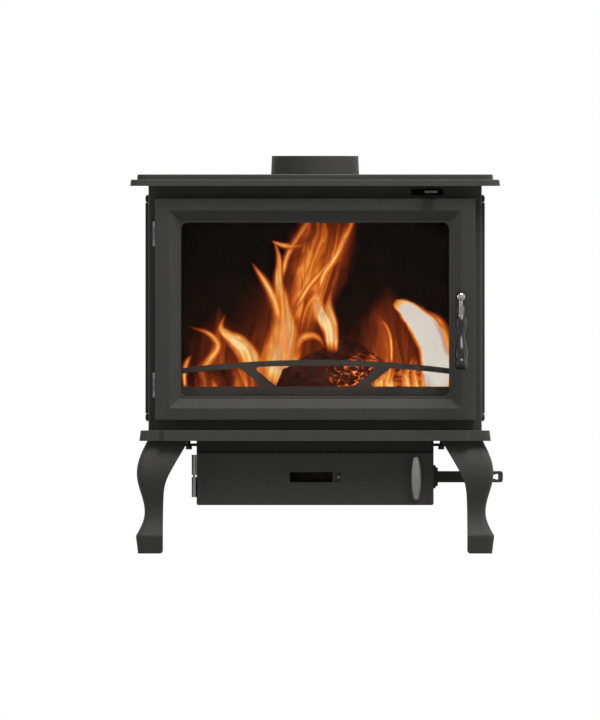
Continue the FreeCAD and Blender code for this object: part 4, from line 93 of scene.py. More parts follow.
# Floor: the fade to white runs between two distances from the origin
FLOOR_SIZE = 14.0
FLOOR_FADE = (0.9, 2.6)
FLOOR_GREYS = (0.61, 0.64)
FLOOR_CLOUDS = 3.0
FLOOR_BOUNCE = 0.34
FLOOR_ROUGHNESS = 0.7
WHITE = (1.0, 1.0, 1.0, 1.0)

# Colour sockets of a Mix node, by number
MIX_FIRST, MIX_SECOND, MIX_RESULT = 6, 7, 2

# Sharp edges, lightened as wear and, in stove paint, also as painted highlight: rays for each point, and
# how strongly a bend counts
BEVEL_SAMPLES = 4
BEND_GAIN = 6.0


class Graph:
    """The nodes of a material or a world, built from coordinates through to the shader."""

    def __init__(self, name, owner=None):
        self.owner = owner or bpy.data.materials.new(name)
        self.owner.use_nodes = True
        self.tree = self.owner.node_tree
        self.tree.nodes.clear()

    def add(self, kind, inputs=None, **settings):
        """New node of a kind; inputs are values or sockets by name or number."""
        node = self.tree.nodes.new("ShaderNode" + kind)
        for key, value in settings.items():
            setattr(node, key, value)
        for key, value in (inputs or {}).items():
            if isinstance(value, bpy.types.NodeSocket):
                self.tree.links.new(value, node.inputs[key])
            else:
                node.inputs[key].default_value = value
        return node

    def place(self, scale=(1, 1, 1)):
        """The object's own coordinates, stretched."""
        where = self.add("TexCoord").outputs["Object"]
        return self.add("Mapping", {"Vector": where, "Scale": scale}).outputs[0]

    def sheet(self, layer, scale=(1, 1, 1)):
        """Flat coordinates laid on the surface, stretched."""
        where = self.add("UVMap", uv_map=layer).outputs[0]
        return self.add("Mapping", {"Vector": where, "Scale": scale}).outputs[0]

    def parts(self, vector):
        """The three values of a vector."""
        return self.add("SeparateXYZ", {0: vector}).outputs

    def painted_value(self, name):
        """A value stored on the mesh."""
        return self.add("Attribute", attribute_name=name).outputs["Fac"]

    def noise(self, scale, where=None, detail=3.0, rough=0.5, bend=0.0):
        """Cloudy noise from 0 to 1, so many lumps to the metre."""
        inputs = {"Vector": where or self.place(), "Scale": scale, "Detail": detail, "Roughness": rough}
        inputs["Distortion"] = bend
        return self.add("TexNoise", inputs).outputs[0]

    def ramp(self, value, *stops):
        """Colours by value; a stop is (value, colour), and a grey may be one number."""
        node = self.add("ValToRGB", {0: value})
        elements = node.color_ramp.elements
        while len(elements) < len(stops):
            elements.new(1.0)
        for element, (position, colour) in zip(elements, stops):
            element.position = position
            element.color = colour_input(colour)
        return node.outputs[0]

    def mix(self, share, first, second):
        """Colour between two colours."""
        inputs = {0: share, MIX_FIRST: colour_input(first), MIX_SECOND: colour_input(second)}
        return self.add("Mix", inputs, data_type="RGBA").outputs[MIX_RESULT]

    def math(self, operation, first, second=0.0, clamp=False):
        """Arithmetic on two values."""
        return self.add("Math", {0: first, 1: second}, operation=operation, use_clamp=clamp).outputs[0]

    def off_middle(self, value):
        """0 in the middle of a range from 0 to 1, and 1 at its two ends."""
        doubled = self.math("MULTIPLY", value, 2.0)
        return self.math("ABSOLUTE", self.math("SUBTRACT", doubled, 1.0))

    def behind(self, plane):
        """1 behind a plane across Y, and 0 in front of it."""
        return self.math("GREATER_THAN", self.parts(self.place())[1], plane)

    def bump(self, height, distance, normal=None):
        """Relief of a height in metres, on top of another relief if one is given."""
        inputs = {"Height": height, "Distance": distance, "Strength": 1.0}
        if normal is not None:
            inputs["Normal"] = normal
        return self.add("Bump", inputs).outputs[0]

    def sharp_edge_mask(self, radius, spread=60.0):
        """1 along sharp edges, broken up by noise, and 0 elsewhere."""
        soft = self.add("Bevel", {"Radius": radius}, samples=BEVEL_SAMPLES).outputs[0]
        hard = self.add("NewGeometry").outputs["Normal"]
        same = self.add("VectorMath", {0: soft, 1: hard}, operation="DOT_PRODUCT").outputs["Value"]
        edge = self.math("MULTIPLY", self.math("SUBTRACT", 1.0, same), BEND_GAIN, clamp=True)
        broken = self.ramp(self.noise(spread, detail=5.0, rough=0.65), (0.42, 0.0), (0.62, 1.0))
        return self.math("MULTIPLY", edge, broken)

    def backdrop_ray(self):
        """1 for a ray that shows the backdrop: from the camera, off a gloss or through glass."""
        rays = self.add("LightPath").outputs
        seen = self.math("MAXIMUM", rays["Is Camera Ray"], rays["Is Glossy Ray"])
        return self.math("MAXIMUM", seen, rays["Is Transmission Ray"])

    def principled(self, **inputs):
        """Principled surface; names use _ for a space."""
        node = self.add("BsdfPrincipled")
        for key, value in inputs.items():
            socket = node.inputs[key.replace("_", " ")]
            if isinstance(value, bpy.types.NodeSocket):
                self.tree.links.new(value, socket)
            else:
                socket.default_value = colour_input(value) if "Color" in key else value
        return node.outputs[0]

    def shader(self, **inputs):
        """The material, finished with a principled surface."""
        self.add("OutputMaterial", {"Surface": self.principled(**inputs)})
        return self.owner


def rgb(colour):
    """Three colour values from a colour or a grey."""
    return (colour, colour, colour) if isinstance(colour, (int, float)) else tuple(colour)[:3]


def colour_input(colour):
    """A colour for a socket: sockets pass through, greys and triples get an alpha."""
    if isinstance(colour, bpy.types.NodeSocket):
        return colour
    return (*rgb(colour), 1.0)


def shade(colour, factor):
    """A colour made lighter or darker by a factor."""
    return tuple(value * factor for value in rgb(colour))


# Materials

CHARCOAL = (0.0440, 0.0435, 0.0420)
STEEL = (0.186, 0.176, 0.163)
HINGE_STEEL = (0.150, 0.143, 0.134)
NICKEL = (0.2183, 0.20296, 0.18526)

# Stove paint: grain in lumps to the metre, their height, roughness
CAST_PAINT = (520.0, 0.6 * MM, 0.50)
SHEET_PAINT = (800.0, 0.3 * MM, 0.46)
PAINT_SPECULAR = 0.10

# Brush lines: so many to the metre, and the stretch that lays them along an axis
BRUSH_LINES = 420.0
MOULD_LINES = 900.0
ALONG_X = (0.08, 1.0, 1.0)
ALONG_Z = (1.0, 1.0, 0.06)
EVEN_GRAIN = (1.0, 1.0, 1.0)
TURNED_RINGS = (0.3, 1.0, 22.0)

BLACKENED_METALLIC = 0.35
BLACKENED_SPECULAR = 0.3
BURNT_SPECULAR = 0.1
HINGE_PAINT_FROM = -160.0 * MM

# The low index keeps the white surround from showing as grain in the dark pane
GLASS_IOR = 1.04
GLASS_CLEARNESS = 0.9974

# Heights between which the brick goes from burnt clean to black
CLEAN_BRICK = (280.0 * MM, 520.0 * MM)

# Fire: glow of embers by heat, and flame patterns in lumps to the metre across and along
DULL_RED = (0.06, 0.004, 0.001)
ORANGE = (0.75, 0.13, 0.012)
YELLOW = (1.0, 0.62, 0.18)
EMBER_STRENGTH = 1.5
FLAME_STRENGTH = 1.4
FLAME_PEAK = (1.0, 0.74, 0.36)
WHITE_HOT = (0.70, 0.67, 0.62)
BARK_GRAIN = (420.0, 34.0, 1.0)
FLAME_TEARS = (48.0, 17.0, 1.0)
FLAME_DRIFT = (20.0, 9.0, 1.0)
FLAME_THREADS = (50.0, 6.5, 1.0)
FOOT_TEARING = 0.35
FLAME_RIM = 0.03
THREAD_GAIN = 1.35


def painted(name, colour, grain, depth, roughness):
    """Matt stove paint over metal: grain is lumps to the metre, depth their height; sharp edges are
    lighter, partly wear and partly painted highlight.
    """
    graph = Graph(name)
    broad = graph.noise(5.0, detail=3.0)
    mottle = graph.noise(70.0, detail=4.0, rough=0.6)
    fine = graph.noise(grain, detail=2.0, rough=0.7)
    base = graph.ramp(broad, (0.3, shade(colour, 0.92)), (0.7, shade(colour, 1.06)))
    base = graph.mix(graph.ramp(mottle, (0.35, 0.0), (0.75, 0.30)), base, shade(colour, 1.25))
    base = graph.mix(graph.ramp(fine, (0.52, 0.0), (0.72, 0.40)), base, shade(colour, 1.6))
    # Sharp edges made lighter: partly wear, partly painted highlight
    worn = graph.math("MULTIPLY", graph.sharp_edge_mask(1.2 * MM), 0.12)
    base = graph.mix(worn, base, shade(colour, 2.4))
    rough = graph.ramp(mottle, (0.3, roughness - 0.05), (0.7, roughness + 0.07))
    relief = graph.bump(broad, 0.4 * MM)
    relief = graph.bump(fine, depth, normal=relief)
    return graph.shader(
        Base_Color=base, Roughness=rough, Normal=relief, Specular_IOR_Level=PAINT_SPECULAR
    )


def heat_stained_iron():
    """Bare grey iron near the fire: dark scale, brown bloom and pale ash in the hollows."""
    scale, iron, brown = (0.060, 0.058, 0.055), (0.075, 0.070, 0.065), (0.09, 0.07, 0.055)
    ash = (0.16, 0.15, 0.14)
    graph = Graph("heat_stained_iron")
    bloom = graph.noise(22.0, detail=5.0, rough=0.65)
    fine = graph.noise(700.0, detail=3.0, rough=0.7)
    dust = graph.noise(60.0, detail=6.0, rough=0.7)
    base = graph.ramp(bloom, (0.35, scale), (0.60, iron), (0.8, brown))
    base = graph.mix(graph.ramp(dust, (0.58, 0.0), (0.75, 0.4)), base, ash)
    rough = graph.ramp(bloom, (0.3, 0.62), (0.7, 0.8))
    relief = graph.bump(bloom, 0.8 * MM)
    relief = graph.bump(fine, 0.3 * MM, normal=relief)
    return graph.shader(Base_Color=base, Roughness=rough, Normal=relief, Specular_IOR_Level=0.2)


def metal_layers(graph, colour, roughness, stretch, lines, tarnish):
    """Colour, roughness and relief of bare metal with fine brush lines."""
    brushed = graph.noise(lines, graph.place(stretch), detail=3.0, rough=0.6)
    cloud = graph.noise(55.0, detail=5.0, rough=0.65)
    base = graph.ramp(brushed, (0.3, shade(colour, 0.86)), (0.7, shade(colour, 1.06)))
    base = graph.mix(graph.ramp(cloud, (0.45, 0.0), (0.8, tarnish)), base, shade(colour, 0.55))
    rough = graph.ramp(cloud, (0.3, roughness), (0.75, roughness + 0.14))
    return base, rough, graph.bump(brushed, 0.06 * MM)


def metal(name, colour, roughness, stretch):
    """Bare metal whose brush lines run along the axis that stretch makes long."""
    graph = Graph(name)
    base, rough, relief = metal_layers(graph, colour, roughness, stretch, BRUSH_LINES, tarnish=0.35)
    return graph.shader(Base_Color=base, Metallic=1.0, Roughness=rough, Normal=relief)


def satin_nickel():
    """Plated casting left rough from the mould, darker in its pores."""
    graph = Graph("satin_nickel")
    base, rough, relief = metal_layers(graph, NICKEL, 0.42, ALONG_X, MOULD_LINES, tarnish=0.2)
    pores = graph.noise(480.0, detail=4.0, rough=0.7)
    base = graph.mix(graph.ramp(pores, (0.40, 0.7), (0.58, 0.0)), base, shade(NICKEL, 0.5))
    relief = graph.bump(pores, 0.5 * MM, normal=relief)
    return graph.shader(Base_Color=base, Metallic=1.0, Roughness=rough, Normal=relief)


def half_painted_steel(paint_from):
    """Dull steel in front of a plane across Y, stove paint behind it."""
    graph = Graph("half_painted_steel")
    base, rough, relief = metal_layers(graph, HINGE_STEEL, 0.40, ALONG_Z, BRUSH_LINES, tarnish=0.5)
    coated = graph.behind(paint_from)
    bare = graph.math("SUBTRACT", 1.0, coated)
    paint = graph.ramp(graph.noise(1500.0), (0.4, shade(CHARCOAL, 0.9)), (0.8, shade(CHARCOAL, 1.3)))
    base = graph.mix(coated, base, paint)
    return graph.shader(Base_Color=base, Metallic=bare, Roughness=rough, Normal=relief)


def chrome():
    """Polished plating with faint finger marks."""
    dull, clean = (0.205, 0.205, 0.205), (0.25, 0.25, 0.252)
    graph = Graph("chrome")
    smudge = graph.noise(120.0, detail=5.0, rough=0.6)
    base = graph.ramp(smudge, (0.3, dull), (0.7, clean))
    rough = graph.ramp(smudge, (0.35, 0.03), (0.75, 0.10))
    relief = graph.bump(smudge, 0.02 * MM)
    return graph.shader(
        Base_Color=base, Metallic=1.0, Roughness=rough, Normal=relief,
        Specular_Tint=(0.12, 0.12, 0.12, 1.0),
    )


def gloss_black():
    """Glossy turned grip with turning rings and the marks of hands."""
    black, worn = (0.010, 0.010, 0.010), (0.020, 0.019, 0.018)
    graph = Graph("gloss_black")
    rings = graph.noise(60.0, graph.place(TURNED_RINGS), detail=3.0)
    handled = graph.noise(90.0, detail=5.0, rough=0.7)
    base = graph.ramp(handled, (0.35, black), (0.75, worn))
    rough = graph.ramp(handled, (0.3, 0.12), (0.8, 0.24))
    relief = graph.bump(rings, 0.05 * MM)
    return graph.shader(Base_Color=base, Roughness=rough, Normal=relief, Specular_IOR_Level=0.22)


def stove_glass():
    """Smoky heat-proof pane with a thin film of soot."""
    clear, smoked = (0.72, 0.69, 0.66), (0.62, 0.58, 0.54)
    graph = Graph("stove_glass")
    film = graph.noise(14.0, detail=5.0, rough=0.7)
    tint = graph.ramp(film, (0.35, clear), (0.8, smoked))
    rough = graph.ramp(film, (0.5, 0.0), (0.95, 0.04))
    return graph.shader(
        Base_Color=tint, Roughness=rough, Transmission_Weight=GLASS_CLEARNESS, IOR=GLASS_IOR
    )


def seal_fibre():
    """Grey knitted fibre with loose hairs and soot."""
    shadow, fibre, black = (0.16, 0.155, 0.145), (0.34, 0.33, 0.31), (0.05, 0.047, 0.045)
    graph = Graph("seal_fibre")
    yarn = graph.noise(900.0, detail=4.0, rough=0.7)
    grime = graph.noise(16.0, detail=5.0, rough=0.65)
    base = graph.ramp(yarn, (0.3, shadow), (0.7, fibre))
    base = graph.mix(graph.ramp(grime, (0.45, 0.0), (0.7, 0.75)), base, black)
    relief = graph.bump(yarn, 0.4 * MM)
    return graph.shader(Base_Color=base, Roughness=0.95, Normal=relief, Sheen_Weight=0.3)


def firebrick():
    """Lining board, sooted black except where the fire has burnt it clean."""
    pore, brick = (0.10, 0.055, 0.035), (0.16, 0.095, 0.06)
    deep_soot, thin_soot = (0.007, 0.0055, 0.005), (0.022, 0.017, 0.015)
    graph = Graph("firebrick")
    pores = graph.noise(420.0, detail=4.0, rough=0.75)
    patches = graph.noise(7.0, detail=6.0, rough=0.62, bend=0.6)
    grime = graph.noise(45.0, detail=5.0, rough=0.7)
    clean = graph.ramp(pores, (0.3, pore), (0.7, brick))
    black = graph.ramp(grime, (0.3, deep_soot), (0.7, thin_soot))
    height = graph.parts(graph.place())[2]
    low = graph.ramp(height, (CLEAN_BRICK[0], 0.62), (CLEAN_BRICK[1], 0.0))
    burnt = graph.math("MULTIPLY", graph.ramp(patches, (0.36, 0.0), (0.66, 1.0)), low)
    base = graph.mix(burnt, black, clean)
    relief = graph.bump(grime, 0.8 * MM)
    relief = graph.bump(pores, 0.15 * MM, normal=relief)
    return graph.shader(
        Base_Color=base, Roughness=0.95, Normal=relief, Specular_IOR_Level=BURNT_SPECULAR
    )


def blackened_layers(graph):
    """Colour, roughness and relief of oiled black steel, rubbed bright on its corners."""
    dark, light, bright = (0.024, 0.024, 0.024), (0.044, 0.0425, 0.040), (0.22, 0.21, 0.20)
    scale = graph.noise(90.0, detail=5.0, rough=0.65)
    fine = graph.noise(1200.0, detail=3.0)
    base = graph.ramp(scale, (0.3, dark), (0.7, light))
    rubbed = graph.math("MULTIPLY", graph.sharp_edge_mask(0.6 * MM, 200.0), 0.4)
    base = graph.mix(rubbed, base, bright)
    rough = graph.ramp(scale, (0.3, 0.36), (0.7, 0.52))
    return base, rough, graph.bump(fine, 0.08 * MM)


def blackened_steel():
    """Oiled black steel."""
    graph = Graph("blackened_steel")
    base, rough, relief = blackened_layers(graph)
    return graph.shader(
        Base_Color=base, Metallic=BLACKENED_METALLIC, Roughness=rough, Normal=relief,
        Specular_IOR_Level=BLACKENED_SPECULAR,
    )


def soot(graph):
    """Colour of a thick coat of soot, made dark enough to serve as painted shade inside the slots it is
    seen through.
    """
    deep, thin = (0.020, 0.018, 0.016), (0.038, 0.035, 0.032)
    grime = graph.noise(45.0, detail=5.0, rough=0.7)
    return graph.ramp(grime, (0.3, deep), (0.7, thin))


def half_soot_and_shade_steel(soot_and_shade_from):
    """Oiled black steel in front of a plane across Y; behind it matt soot, made dark as painted shade for
    the slot it shows through.
    """
    graph = Graph("half_soot_and_shade_steel")
    base, rough, relief = blackened_layers(graph)
    coated = graph.behind(soot_and_shade_from)
    bare = graph.math("SUBTRACT", 1.0, coated)
    base = graph.mix(coated, base, soot(graph))
    rough = graph.mix(coated, rough, 1.0)
    metallic = graph.math("MULTIPLY", bare, BLACKENED_METALLIC)
    return graph.shader(
        Base_Color=base, Metallic=metallic, Roughness=rough, Normal=relief,
        Specular_IOR_Level=BLACKENED_SPECULAR,
    )


def soot_and_shade_sheet():
    """Sheet metal that holds ash or carries air, black with soot that also serves as painted shade seen
    through the slots.
    """
    graph = Graph("soot_and_shade_sheet")
    flakes = graph.noise(300.0, detail=4.0, rough=0.7)
    relief = graph.bump(flakes, 0.3 * MM)
    return graph.shader(
        Base_Color=soot(graph), Roughness=0.95, Normal=relief, Specular_IOR_Level=BURNT_SPECULAR
    )


def glowing(graph, base, roughness, relief, flicker):
    """Burnt surface that glows by the heat stored on its points, times a flicker."""
    heat = graph.math("MULTIPLY", graph.painted_value("ember_heat"), flicker)
    colour = graph.ramp(heat, (0.0, 0.0), (0.25, DULL_RED), (0.55, ORANGE), (1.0, YELLOW))
    return graph.shader(
        Base_Color=base, Roughness=roughness, Normal=relief, Specular_IOR_Level=BURNT_SPECULAR,
        Emission_Color=colour, Emission_Strength=EMBER_STRENGTH,
    )


def charred_wood():
    """Burning wood: black char, brown grain, grey ash on the crests and glowing checks."""
    dark, brown, pale = (0.020, 0.010, 0.007), (0.085, 0.036, 0.020), (0.19, 0.085, 0.045)
    char, ash = (0.014, 0.011, 0.010), (0.24, 0.21, 0.19)
    graph = Graph("charred_wood")
    grain = graph.noise(1.0, graph.sheet("bark", BARK_GRAIN), detail=5.0, rough=0.65)
    blotch = graph.noise(38.0, detail=4.0, rough=0.6)
    dust = graph.noise(150.0, detail=5.0, rough=0.7)
    base = graph.ramp(grain, (0.30, dark), (0.55, brown), (0.75, pale))
    base = graph.mix(graph.ramp(blotch, (0.40, 0.8), (0.62, 0.0)), base, char)
    base = graph.mix(graph.ramp(dust, (0.60, 0.0), (0.74, 0.5)), base, ash)
    flicker = graph.ramp(graph.noise(60.0, detail=5.0, rough=0.65), (0.38, 0.15), (0.60, 1.25))
    return glowing(graph, base, 0.9, graph.bump(grain, 1.6 * MM), flicker)


def ember():
    """Charcoal lumps and ash, glowing between them."""
    char, crest, ash = (0.010, 0.009, 0.008), (0.045, 0.040, 0.036), (0.24, 0.225, 0.205)
    graph = Graph("ember")
    crust = graph.noise(210.0, detail=5.0, rough=0.7)
    dust = graph.noise(70.0, detail=5.0, rough=0.65)
    base = graph.ramp(crust, (0.35, char), (0.7, crest))
    base = graph.mix(graph.ramp(dust, (0.48, 0.0), (0.68, 0.8)), base, ash)
    flicker = graph.ramp(graph.noise(85.0, detail=6.0, rough=0.7), (0.36, 0.0), (0.64, 1.25))
    return glowing(graph, base, 0.95, graph.bump(crust, 1.2 * MM), flicker)


def flame(name, gain, streak, ragged, soft, peak=FLAME_PEAK):
    """Fire gas that fades towards its edges and ends.

    gain is how hot it is, streak how stringy, ragged how torn its edges are, soft how far
    in from them it fades, and peak its hottest colour.
    """
    graph = Graph(name)
    across, upward, _ = graph.parts(graph.sheet("profile"))
    torn = graph.noise(1.0, graph.sheet("metres", FLAME_TEARS), detail=4.0, rough=0.55, bend=0.8)
    tearing = graph.math("MULTIPLY", graph.math("SUBTRACT", torn, 0.5), ragged)
    tearing = graph.math("MULTIPLY", tearing, graph.math("ADD", upward, FOOT_TEARING))
    inward = graph.math("SUBTRACT", 1.0, graph.off_middle(across))
    inward = graph.math("ADD", inward, tearing)
    body = graph.ramp(
        inward, (FLAME_RIM, 0.0), (FLAME_RIM + 0.45 * soft, 0.38), (FLAME_RIM + 0.95 * soft, 1.0)
    )
    ends = graph.ramp(upward, (0.0, 0.0), (0.14, 0.9), (0.36, 1.0), (0.70, 0.76), (1.0, 0.22))
    drift = graph.noise(1.0, graph.sheet("metres", FLAME_DRIFT), detail=2.0)
    bent = graph.sheet("metres", FLAME_THREADS)
    bent = graph.add("VectorMath", {0: bent, 1: drift}, operation="ADD").outputs[0]
    threads = graph.noise(1.0, bent, detail=2.0, rough=0.5, bend=0.6)
    ridge = graph.ramp(graph.off_middle(threads), (0.0, 1.0), (0.12, 0.62), (0.45, 0.0))
    lit = graph.math("ADD", graph.math("MULTIPLY", ridge, THREAD_GAIN * streak), 1.0 - streak)
    heat = graph.math("MULTIPLY", body, ends)
    heat = graph.math("MULTIPLY", heat, graph.math("MULTIPLY", lit, gain))
    colour = graph.ramp(
        heat, (0.0, (0.10, 0.010, 0.004)), (0.28, (0.40, 0.055, 0.010)),
        (0.50, (0.80, 0.19, 0.020)), (0.74, (0.95, 0.46, 0.095)), (1.0, peak),
    )
    cover = graph.ramp(heat, (0.02, 0.0), (0.26, 0.24), (0.52, 0.58), (0.95, 0.96))
    return graph.shader(
        Base_Color=0.0, Roughness=1.0, Specular_IOR_Level=0.0,
        Emission_Color=colour, Emission_Strength=FLAME_STRENGTH, Alpha=cover,
    )


MATERIALS = {
    "cast_charcoal": painted("cast_charcoal", CHARCOAL, *CAST_PAINT),
    "charcoal_sheet": painted("charcoal_sheet", shade(CHARCOAL, 1.02), *SHEET_PAINT),
    "raw_cast": heat_stained_iron(),
    "steel": metal("bare_steel", STEEL, 0.34, ALONG_Z),
    "satin_nickel": satin_nickel(),
    "chrome": chrome(),
    "black_grip": gloss_black(),
    "stove_glass": stove_glass(),
    "seal_rope": seal_fibre(),
    "firebrick": firebrick(),
    "black_steel": blackened_steel(),
}
# Soot behind the air slot and the ash door slot, darkened as painted shade of those recesses
SOOT_AND_SHADE = soot_and_shade_sheet()
OWN_MATERIALS = {
    "air_slide": half_soot_and_shade_steel(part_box("front_plate")[0][1]),
    "airwash_manifold": SOOT_AND_SHADE,
    "ash_pan": SOOT_AND_SHADE,
    # Painted shade: the ash box is painted darker to stand for the shadow cast on it by the base plate
    "ash_box": painted("ash_box_painted_shade", shade(CHARCOAL, 0.55), *SHEET_PAINT),
    "hinge_brackets": half_painted_steel(HINGE_PAINT_FROM),
    "door_hinge_knuckles": metal("knuckle_steel", shade(HINGE_STEEL, 0.6), 0.42, ALONG_Z),
    "shutter_button": metal("button_steel", shade(HINGE_STEEL, 0.45), 0.35, EVEN_GRAIN),
}


def dress(obj, material):
    """Gives an object one material."""
    obj.data.materials.clear()
    obj.data.materials.append(material)


for subpart in frame["record"]["subparts"]:
    node_name = subpart["node"]
    dress(NODES[node_name], OWN_MATERIALS.get(node_name, MATERIALS[subpart["material_slot"]]))


# Shared shapes

def new_piece(name, vertices, faces, body, material, values=None):
    """Smooth mesh piece that rides on a body; values are stored on its points by name."""
    mesh = bpy.data.meshes.new(name)
    mesh.from_pydata(vertices, [], faces)
    for key, numbers in (values or {}).items():
        mesh.attributes.new(key, "FLOAT", "POINT").data.foreach_set("value", numbers)
    mesh.shade_smooth()
    obj = bpy.data.objects.new(name, mesh)
    bpy.context.scene.collection.objects.link(obj)
    dress(obj, material)
    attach(obj, body)
    return obj


def lay_flat(obj, layer, places):
    """Stores flat coordinates, one pair for each point of the mesh."""
    data = obj.data.uv_layers.new(name=layer).data
    for loop in obj.data.loops:
        data[loop.index].uv = places[loop.vertex_index]


def ring_faces(rows, around, closed):
    """Quads between neighbouring rows of points that each close round."""
    faces = []
    for row in range(rows if closed else rows - 1):
        following = (row + 1) % rows
        for column in range(around):
            beside = (column + 1) % around
            faces.append((
                row * around + column, row * around + beside,
                following * around + beside, following * around + column,
            ))
    return faces


def smooth_line(points, count):
    """Values along a smooth (Catmull-Rom) line through control values."""
    knots = [Vector(point) for point in points]
    knots = [2 * knots[0] - knots[1]] + knots + [2 * knots[-1] - knots[-2]]
    spans = len(points) - 1
    line = []
    for index in range(count):
        at = index / (count - 1) * spans
        span = min(int(at), spans - 1)
        part = at - span
        a, b, c, d = knots[span:span + 4]
        value = 2 * b + part * (c - a) + part ** 2 * (2 * a - 5 * b + 4 * c - d)
        line.append(0.5 * (value + part ** 3 * (3 * b - a - 3 * c + d)))
    return line


def clamped(value):
    """A value held between 0 and 1."""
    return max(0.0, min(1.0, value))


# Seals

QUARTER_TURN = 90
FEWEST_CORNER_STEPS = 4


def seal_route(across, upward, corner, step):
    """Places and outward directions round a rounded rectangle, as (x, z, u, w, distance)."""
    corners = (
        (across[1] - corner, upward[0] + corner, -90), (across[1] - corner, upward[1] - corner, 0),
        (across[0] + corner, upward[1] - corner, 90), (across[0] + corner, upward[0] + corner, 180),
    )
    width = across[1] - across[0] - 2 * corner
    height = upward[1] - upward[0] - 2 * corner
    bend = corner * math.pi / 2
    places = []
    start = 0.0
    for index, (x, z, angle) in enumerate(corners):
        turns = max(FEWEST_CORNER_STEPS, round(bend / step))
        straight = height if index % 2 == 0 else width
        runs = max(1, round(straight / step))
        for turn in range(turns):
            share = turn / turns
            aim = math.radians(angle + QUARTER_TURN * share)
            u, w = math.cos(aim), math.sin(aim)
            places.append((x + corner * u, z + corner * w, u, w, start + bend * share))
        aim = math.radians(angle + QUARTER_TURN)
        u, w = math.cos(aim), math.sin(aim)
        for run in range(runs):
            gone = straight * run / runs
            place_x = x + corner * u - w * gone
            place_z = z + corner * w + u * gone
            places.append((place_x, place_z, u, w, start + bend + gone))
        start += bend + straight
    return places, start


def seal_piece(name, node, body, vertices, around):
    """Closed seal from rings of points, in place of a plain CAD solid."""
    faces = ring_faces(len(vertices) // around, around, True)
    obj = new_piece(name, vertices, faces, body, MATERIALS["seal_rope"])
    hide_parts(node)


ROPE_STEP = 1.3 * MM
ROPE_SIDES = 24
BRAID_PITCH = 9.5 * MM
BRAID_STRANDS = 6
BRAID_DEPTH = 0.8 * MM
BRAID_SHARPNESS = 1.5
DOOR_ROPE_CORNER = 12.0 * MM
ASH_ROPE_CORNER = 10.0 * MM


def braided_seal(name, node, corner, body):
    """Braided rope in place of a plain CAD rope, on the same middle line."""
    low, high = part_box(node)
    radius = (high[1] - low[1]) / 2
    across = (low[0] + radius, high[0] - radius)
    upward = (low[2] + radius, high[2] - radius)
    middle = (low[1] + high[1]) / 2
    places, length = seal_route(across, upward, corner, ROPE_STEP)
    pitches = round(length / BRAID_PITCH)
    vertices = []
    for x, z, u, w, gone in places:
        lay = 2 * math.pi * pitches * gone / length
        for side in range(ROPE_SIDES):
            turn = 2 * math.pi * side / ROPE_SIDES
            right = abs(math.cos((BRAID_STRANDS * turn + lay) / 2))
            left = abs(math.cos((BRAID_STRANDS * turn - lay) / 2))
            reach = radius - BRAID_DEPTH * (1 - max(right, left) ** BRAID_SHARPNESS)
            out = reach * math.cos(turn)
            vertices.append((x + u * out, middle + reach * math.sin(turn), z + w * out))
    seal_piece(name, node, body, vertices, ROPE_SIDES)


TAPE_STEP = 1.0 * MM
TAPE_RIB = 3.2 * MM
TAPE_WIDTH = 4.6 * MM
TAPE_CORNER = 9.0 * MM
TAPE_MARGIN = 0.2 * MM
RIB_THINNING = 0.16
RIB_NARROWING = 0.06

# Section of the tape: outward as a share of its half width, back as a share of its half thickness
TAPE_SECTION = (
    (-1, 0), (-0.9, -1), (-0.3, -1), (0.3, -1), (0.9, -1),
    (1, 0), (0.9, 1), (0.3, 1), (-0.3, 1), (-0.9, 1),
)


def woven_tape(name, node, body):
    """Ribbed flat tape in place of the plain CAD tape."""
    low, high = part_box(node)
    half = TAPE_WIDTH / 2
    thick = (high[1] - low[1]) / 2
    middle = (low[1] + high[1]) / 2
    inset = half + TAPE_MARGIN
    across = (low[0] + inset, high[0] - inset)
    upward = (low[2] + inset, high[2] - inset)
    places, length = seal_route(across, upward, TAPE_CORNER, TAPE_STEP)
    ribs = round(length / TAPE_RIB)
    vertices = []
    for x, z, u, w, gone in places:
        swell = 1 - RIB_THINNING * (0.5 + 0.5 * math.cos(2 * math.pi * ribs * gone / length))
        for out, back in TAPE_SECTION:
            reach = out * half * (1 - RIB_NARROWING + RIB_NARROWING * swell)
            vertices.append((x + u * reach, middle + back * thick * swell, z + w * reach))
    seal_piece(name, node, body, vertices, len(TAPE_SECTION))


braided_seal("braided_door_rope", "door_rope", DOOR_ROPE_CORNER, "door")
braided_seal("braided_ash_door_rope", "ash_door_seal", ASH_ROPE_CORNER, "ash_door")
woven_tape("woven_glass_tape", "glass_tape", "door")


# Fire: ash bed, coals, logs and flames

BED_LEFT, BED_RIGHT = -236.0 * MM, 236.0 * MM
BED_FRONT, BED_BACK = -94.0 * MM, 188.0 * MM
BED_FLOOR = 252.0 * MM
BED_EDGE = 253.0 * MM
BED_RIM = 34.0 * MM
WELL_FLOOR = 228.6 * MM
WELL = ((-112.0 * MM, 142.0 * MM), (-38.0 * MM, 86.0 * MM))
BED_COLUMNS, BED_ROWS = 118, 72

# Ash above the edge of the bed: heights in millimetres; a lump is (height, lumps to the metre)
BED_LEAST = 2.0
BED_DEPTH = 13.0
HEAP_HEIGHT = 36.0
HEAP_MIDDLE = 75.0 * MM
HEAP_HALF_WIDTH = 230.0 * MM
HEAP_HALF_DEPTH = 85.0 * MM
BED_LUMPS = ((8.0, 24.0), (5.0, 70.0), (2.0, 190.0))

# Where it is hot: the middle in depth, and half width and half depth of what glows
FIRE_MIDDLE = 20.0 * MM
BED_FIRE = (250.0 * MM, 130.0 * MM)
COAL_FIRE = (280.0 * MM, 140.0 * MM)
BED_HEAT = 0.85


def in_fire(x, y, half_width, half_depth):
    """1 in the middle of the fire, falling to 0 outside it."""
    return math.exp(-((x / half_width) ** 4) - ((y - FIRE_MIDDLE) / half_depth) ** 4)


